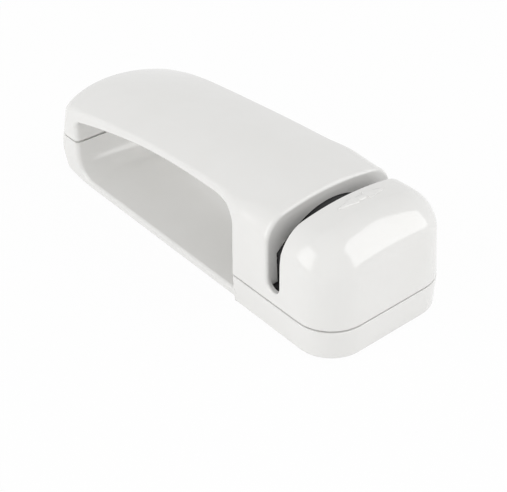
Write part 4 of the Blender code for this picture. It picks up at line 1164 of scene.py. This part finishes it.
def make_floor():
    corners = [(-1, -1), (1, -1), (1, 1), (-1, 1)]
    points = [(FLOOR_HALF * x, FLOOR_HALF * y, 0) for x, y in corners]
    floor = mesh_object("floor", points, [range(len(points))])
    floor.location.z = -FLOOR_DROP
    made = bpy.data.materials.new("floor")
    made.use_nodes = True
    tree = made.node_tree
    tree.nodes.clear()
    paper = tree.nodes.new("ShaderNodeBsdfDiffuse")
    paper.inputs["Color"].default_value = PAPER
    glow = tree.nodes.new("ShaderNodeEmission")
    share = math_node(tree, "MULTIPLY")
    share.inputs[1].default_value = FLOOR_GLOW
    tree.links.new(seen_ray(tree), share.inputs[0])
    mix = tree.nodes.new("ShaderNodeMixShader")
    tree.links.new(share.outputs[0], mix.inputs["Fac"])
    tree.links.new(paper.outputs[0], mix.inputs[1])
    tree.links.new(glow.outputs[0], mix.inputs[2])
    out = tree.nodes.new("ShaderNodeOutputMaterial")
    tree.links.new(mix.outputs[0], out.inputs["Surface"])
    floor.data.materials.append(made)


def make_world():
    world = bpy.data.worlds.new("studio")
    world.use_nodes = True
    bpy.context.scene.world = world
    tree = world.node_tree
    background = tree.nodes["Background"]
    tree.links.new(mixed(tree, seen_ray(tree), AMBIENT, BACKGROUND), background.inputs["Color"])


def softbox(name, azimuth, elevation, distance, width, height, radiance, rays):
    """A lit panel that faces the case, as bright all over as a surface of that radiance."""
    azimuth, elevation = math.radians(azimuth), math.radians(elevation)
    lamp = bpy.data.lights.new(name, "AREA")
    lamp.shape = "RECTANGLE"
    lamp.size, lamp.size_y = width, height
    lamp.energy = math.pi * width * height * radiance
    obj = bpy.data.objects.new(name, lamp)
    obj.visible_glossy, obj.visible_diffuse = rays == "glossy", rays == "diffuse"
    bpy.context.scene.collection.objects.link(obj)
    level = math.cos(elevation)
    away = Vector((math.cos(azimuth) * level, math.sin(azimuth) * level, math.sin(elevation)))
    obj.location = away * distance
    obj.rotation_euler = away.to_track_quat("Z", "Y").to_euler()


def make_camera():
    across = Vector((math.cos(CAMERA_AZIMUTH), math.sin(CAMERA_AZIMUTH), 0))
    away = Vector((math.sin(CAMERA_AZIMUTH), -math.cos(CAMERA_AZIMUTH), 0))
    back = away * math.cos(CAMERA_ELEVATION) + Vector((0, 0, math.sin(CAMERA_ELEVATION)))
    down = (-back).cross(across)
    right = math.cos(CAMERA_ROLL) * across + math.sin(CAMERA_ROLL) * down
    up = math.sin(CAMERA_ROLL) * across - math.cos(CAMERA_ROLL) * down
    data = bpy.data.cameras.new("camera")
    data.lens = CAMERA_LENS
    data.sensor_width = CAMERA_SENSOR
    data.clip_start = CAMERA_NEAR
    camera = bpy.data.objects.new("camera", data)
    bpy.context.scene.collection.objects.link(camera)
    turn = Matrix((right, up, back)).transposed().to_4x4()
    camera.matrix_world = Matrix.Translation(CAMERA_AT) @ turn
    bpy.context.scene.camera = camera


make_floor()
make_world()
for name, values in LAMPS.items():
    softbox(name, *values)
make_camera()
bpy.context.scene.view_settings.view_transform = "Standard"
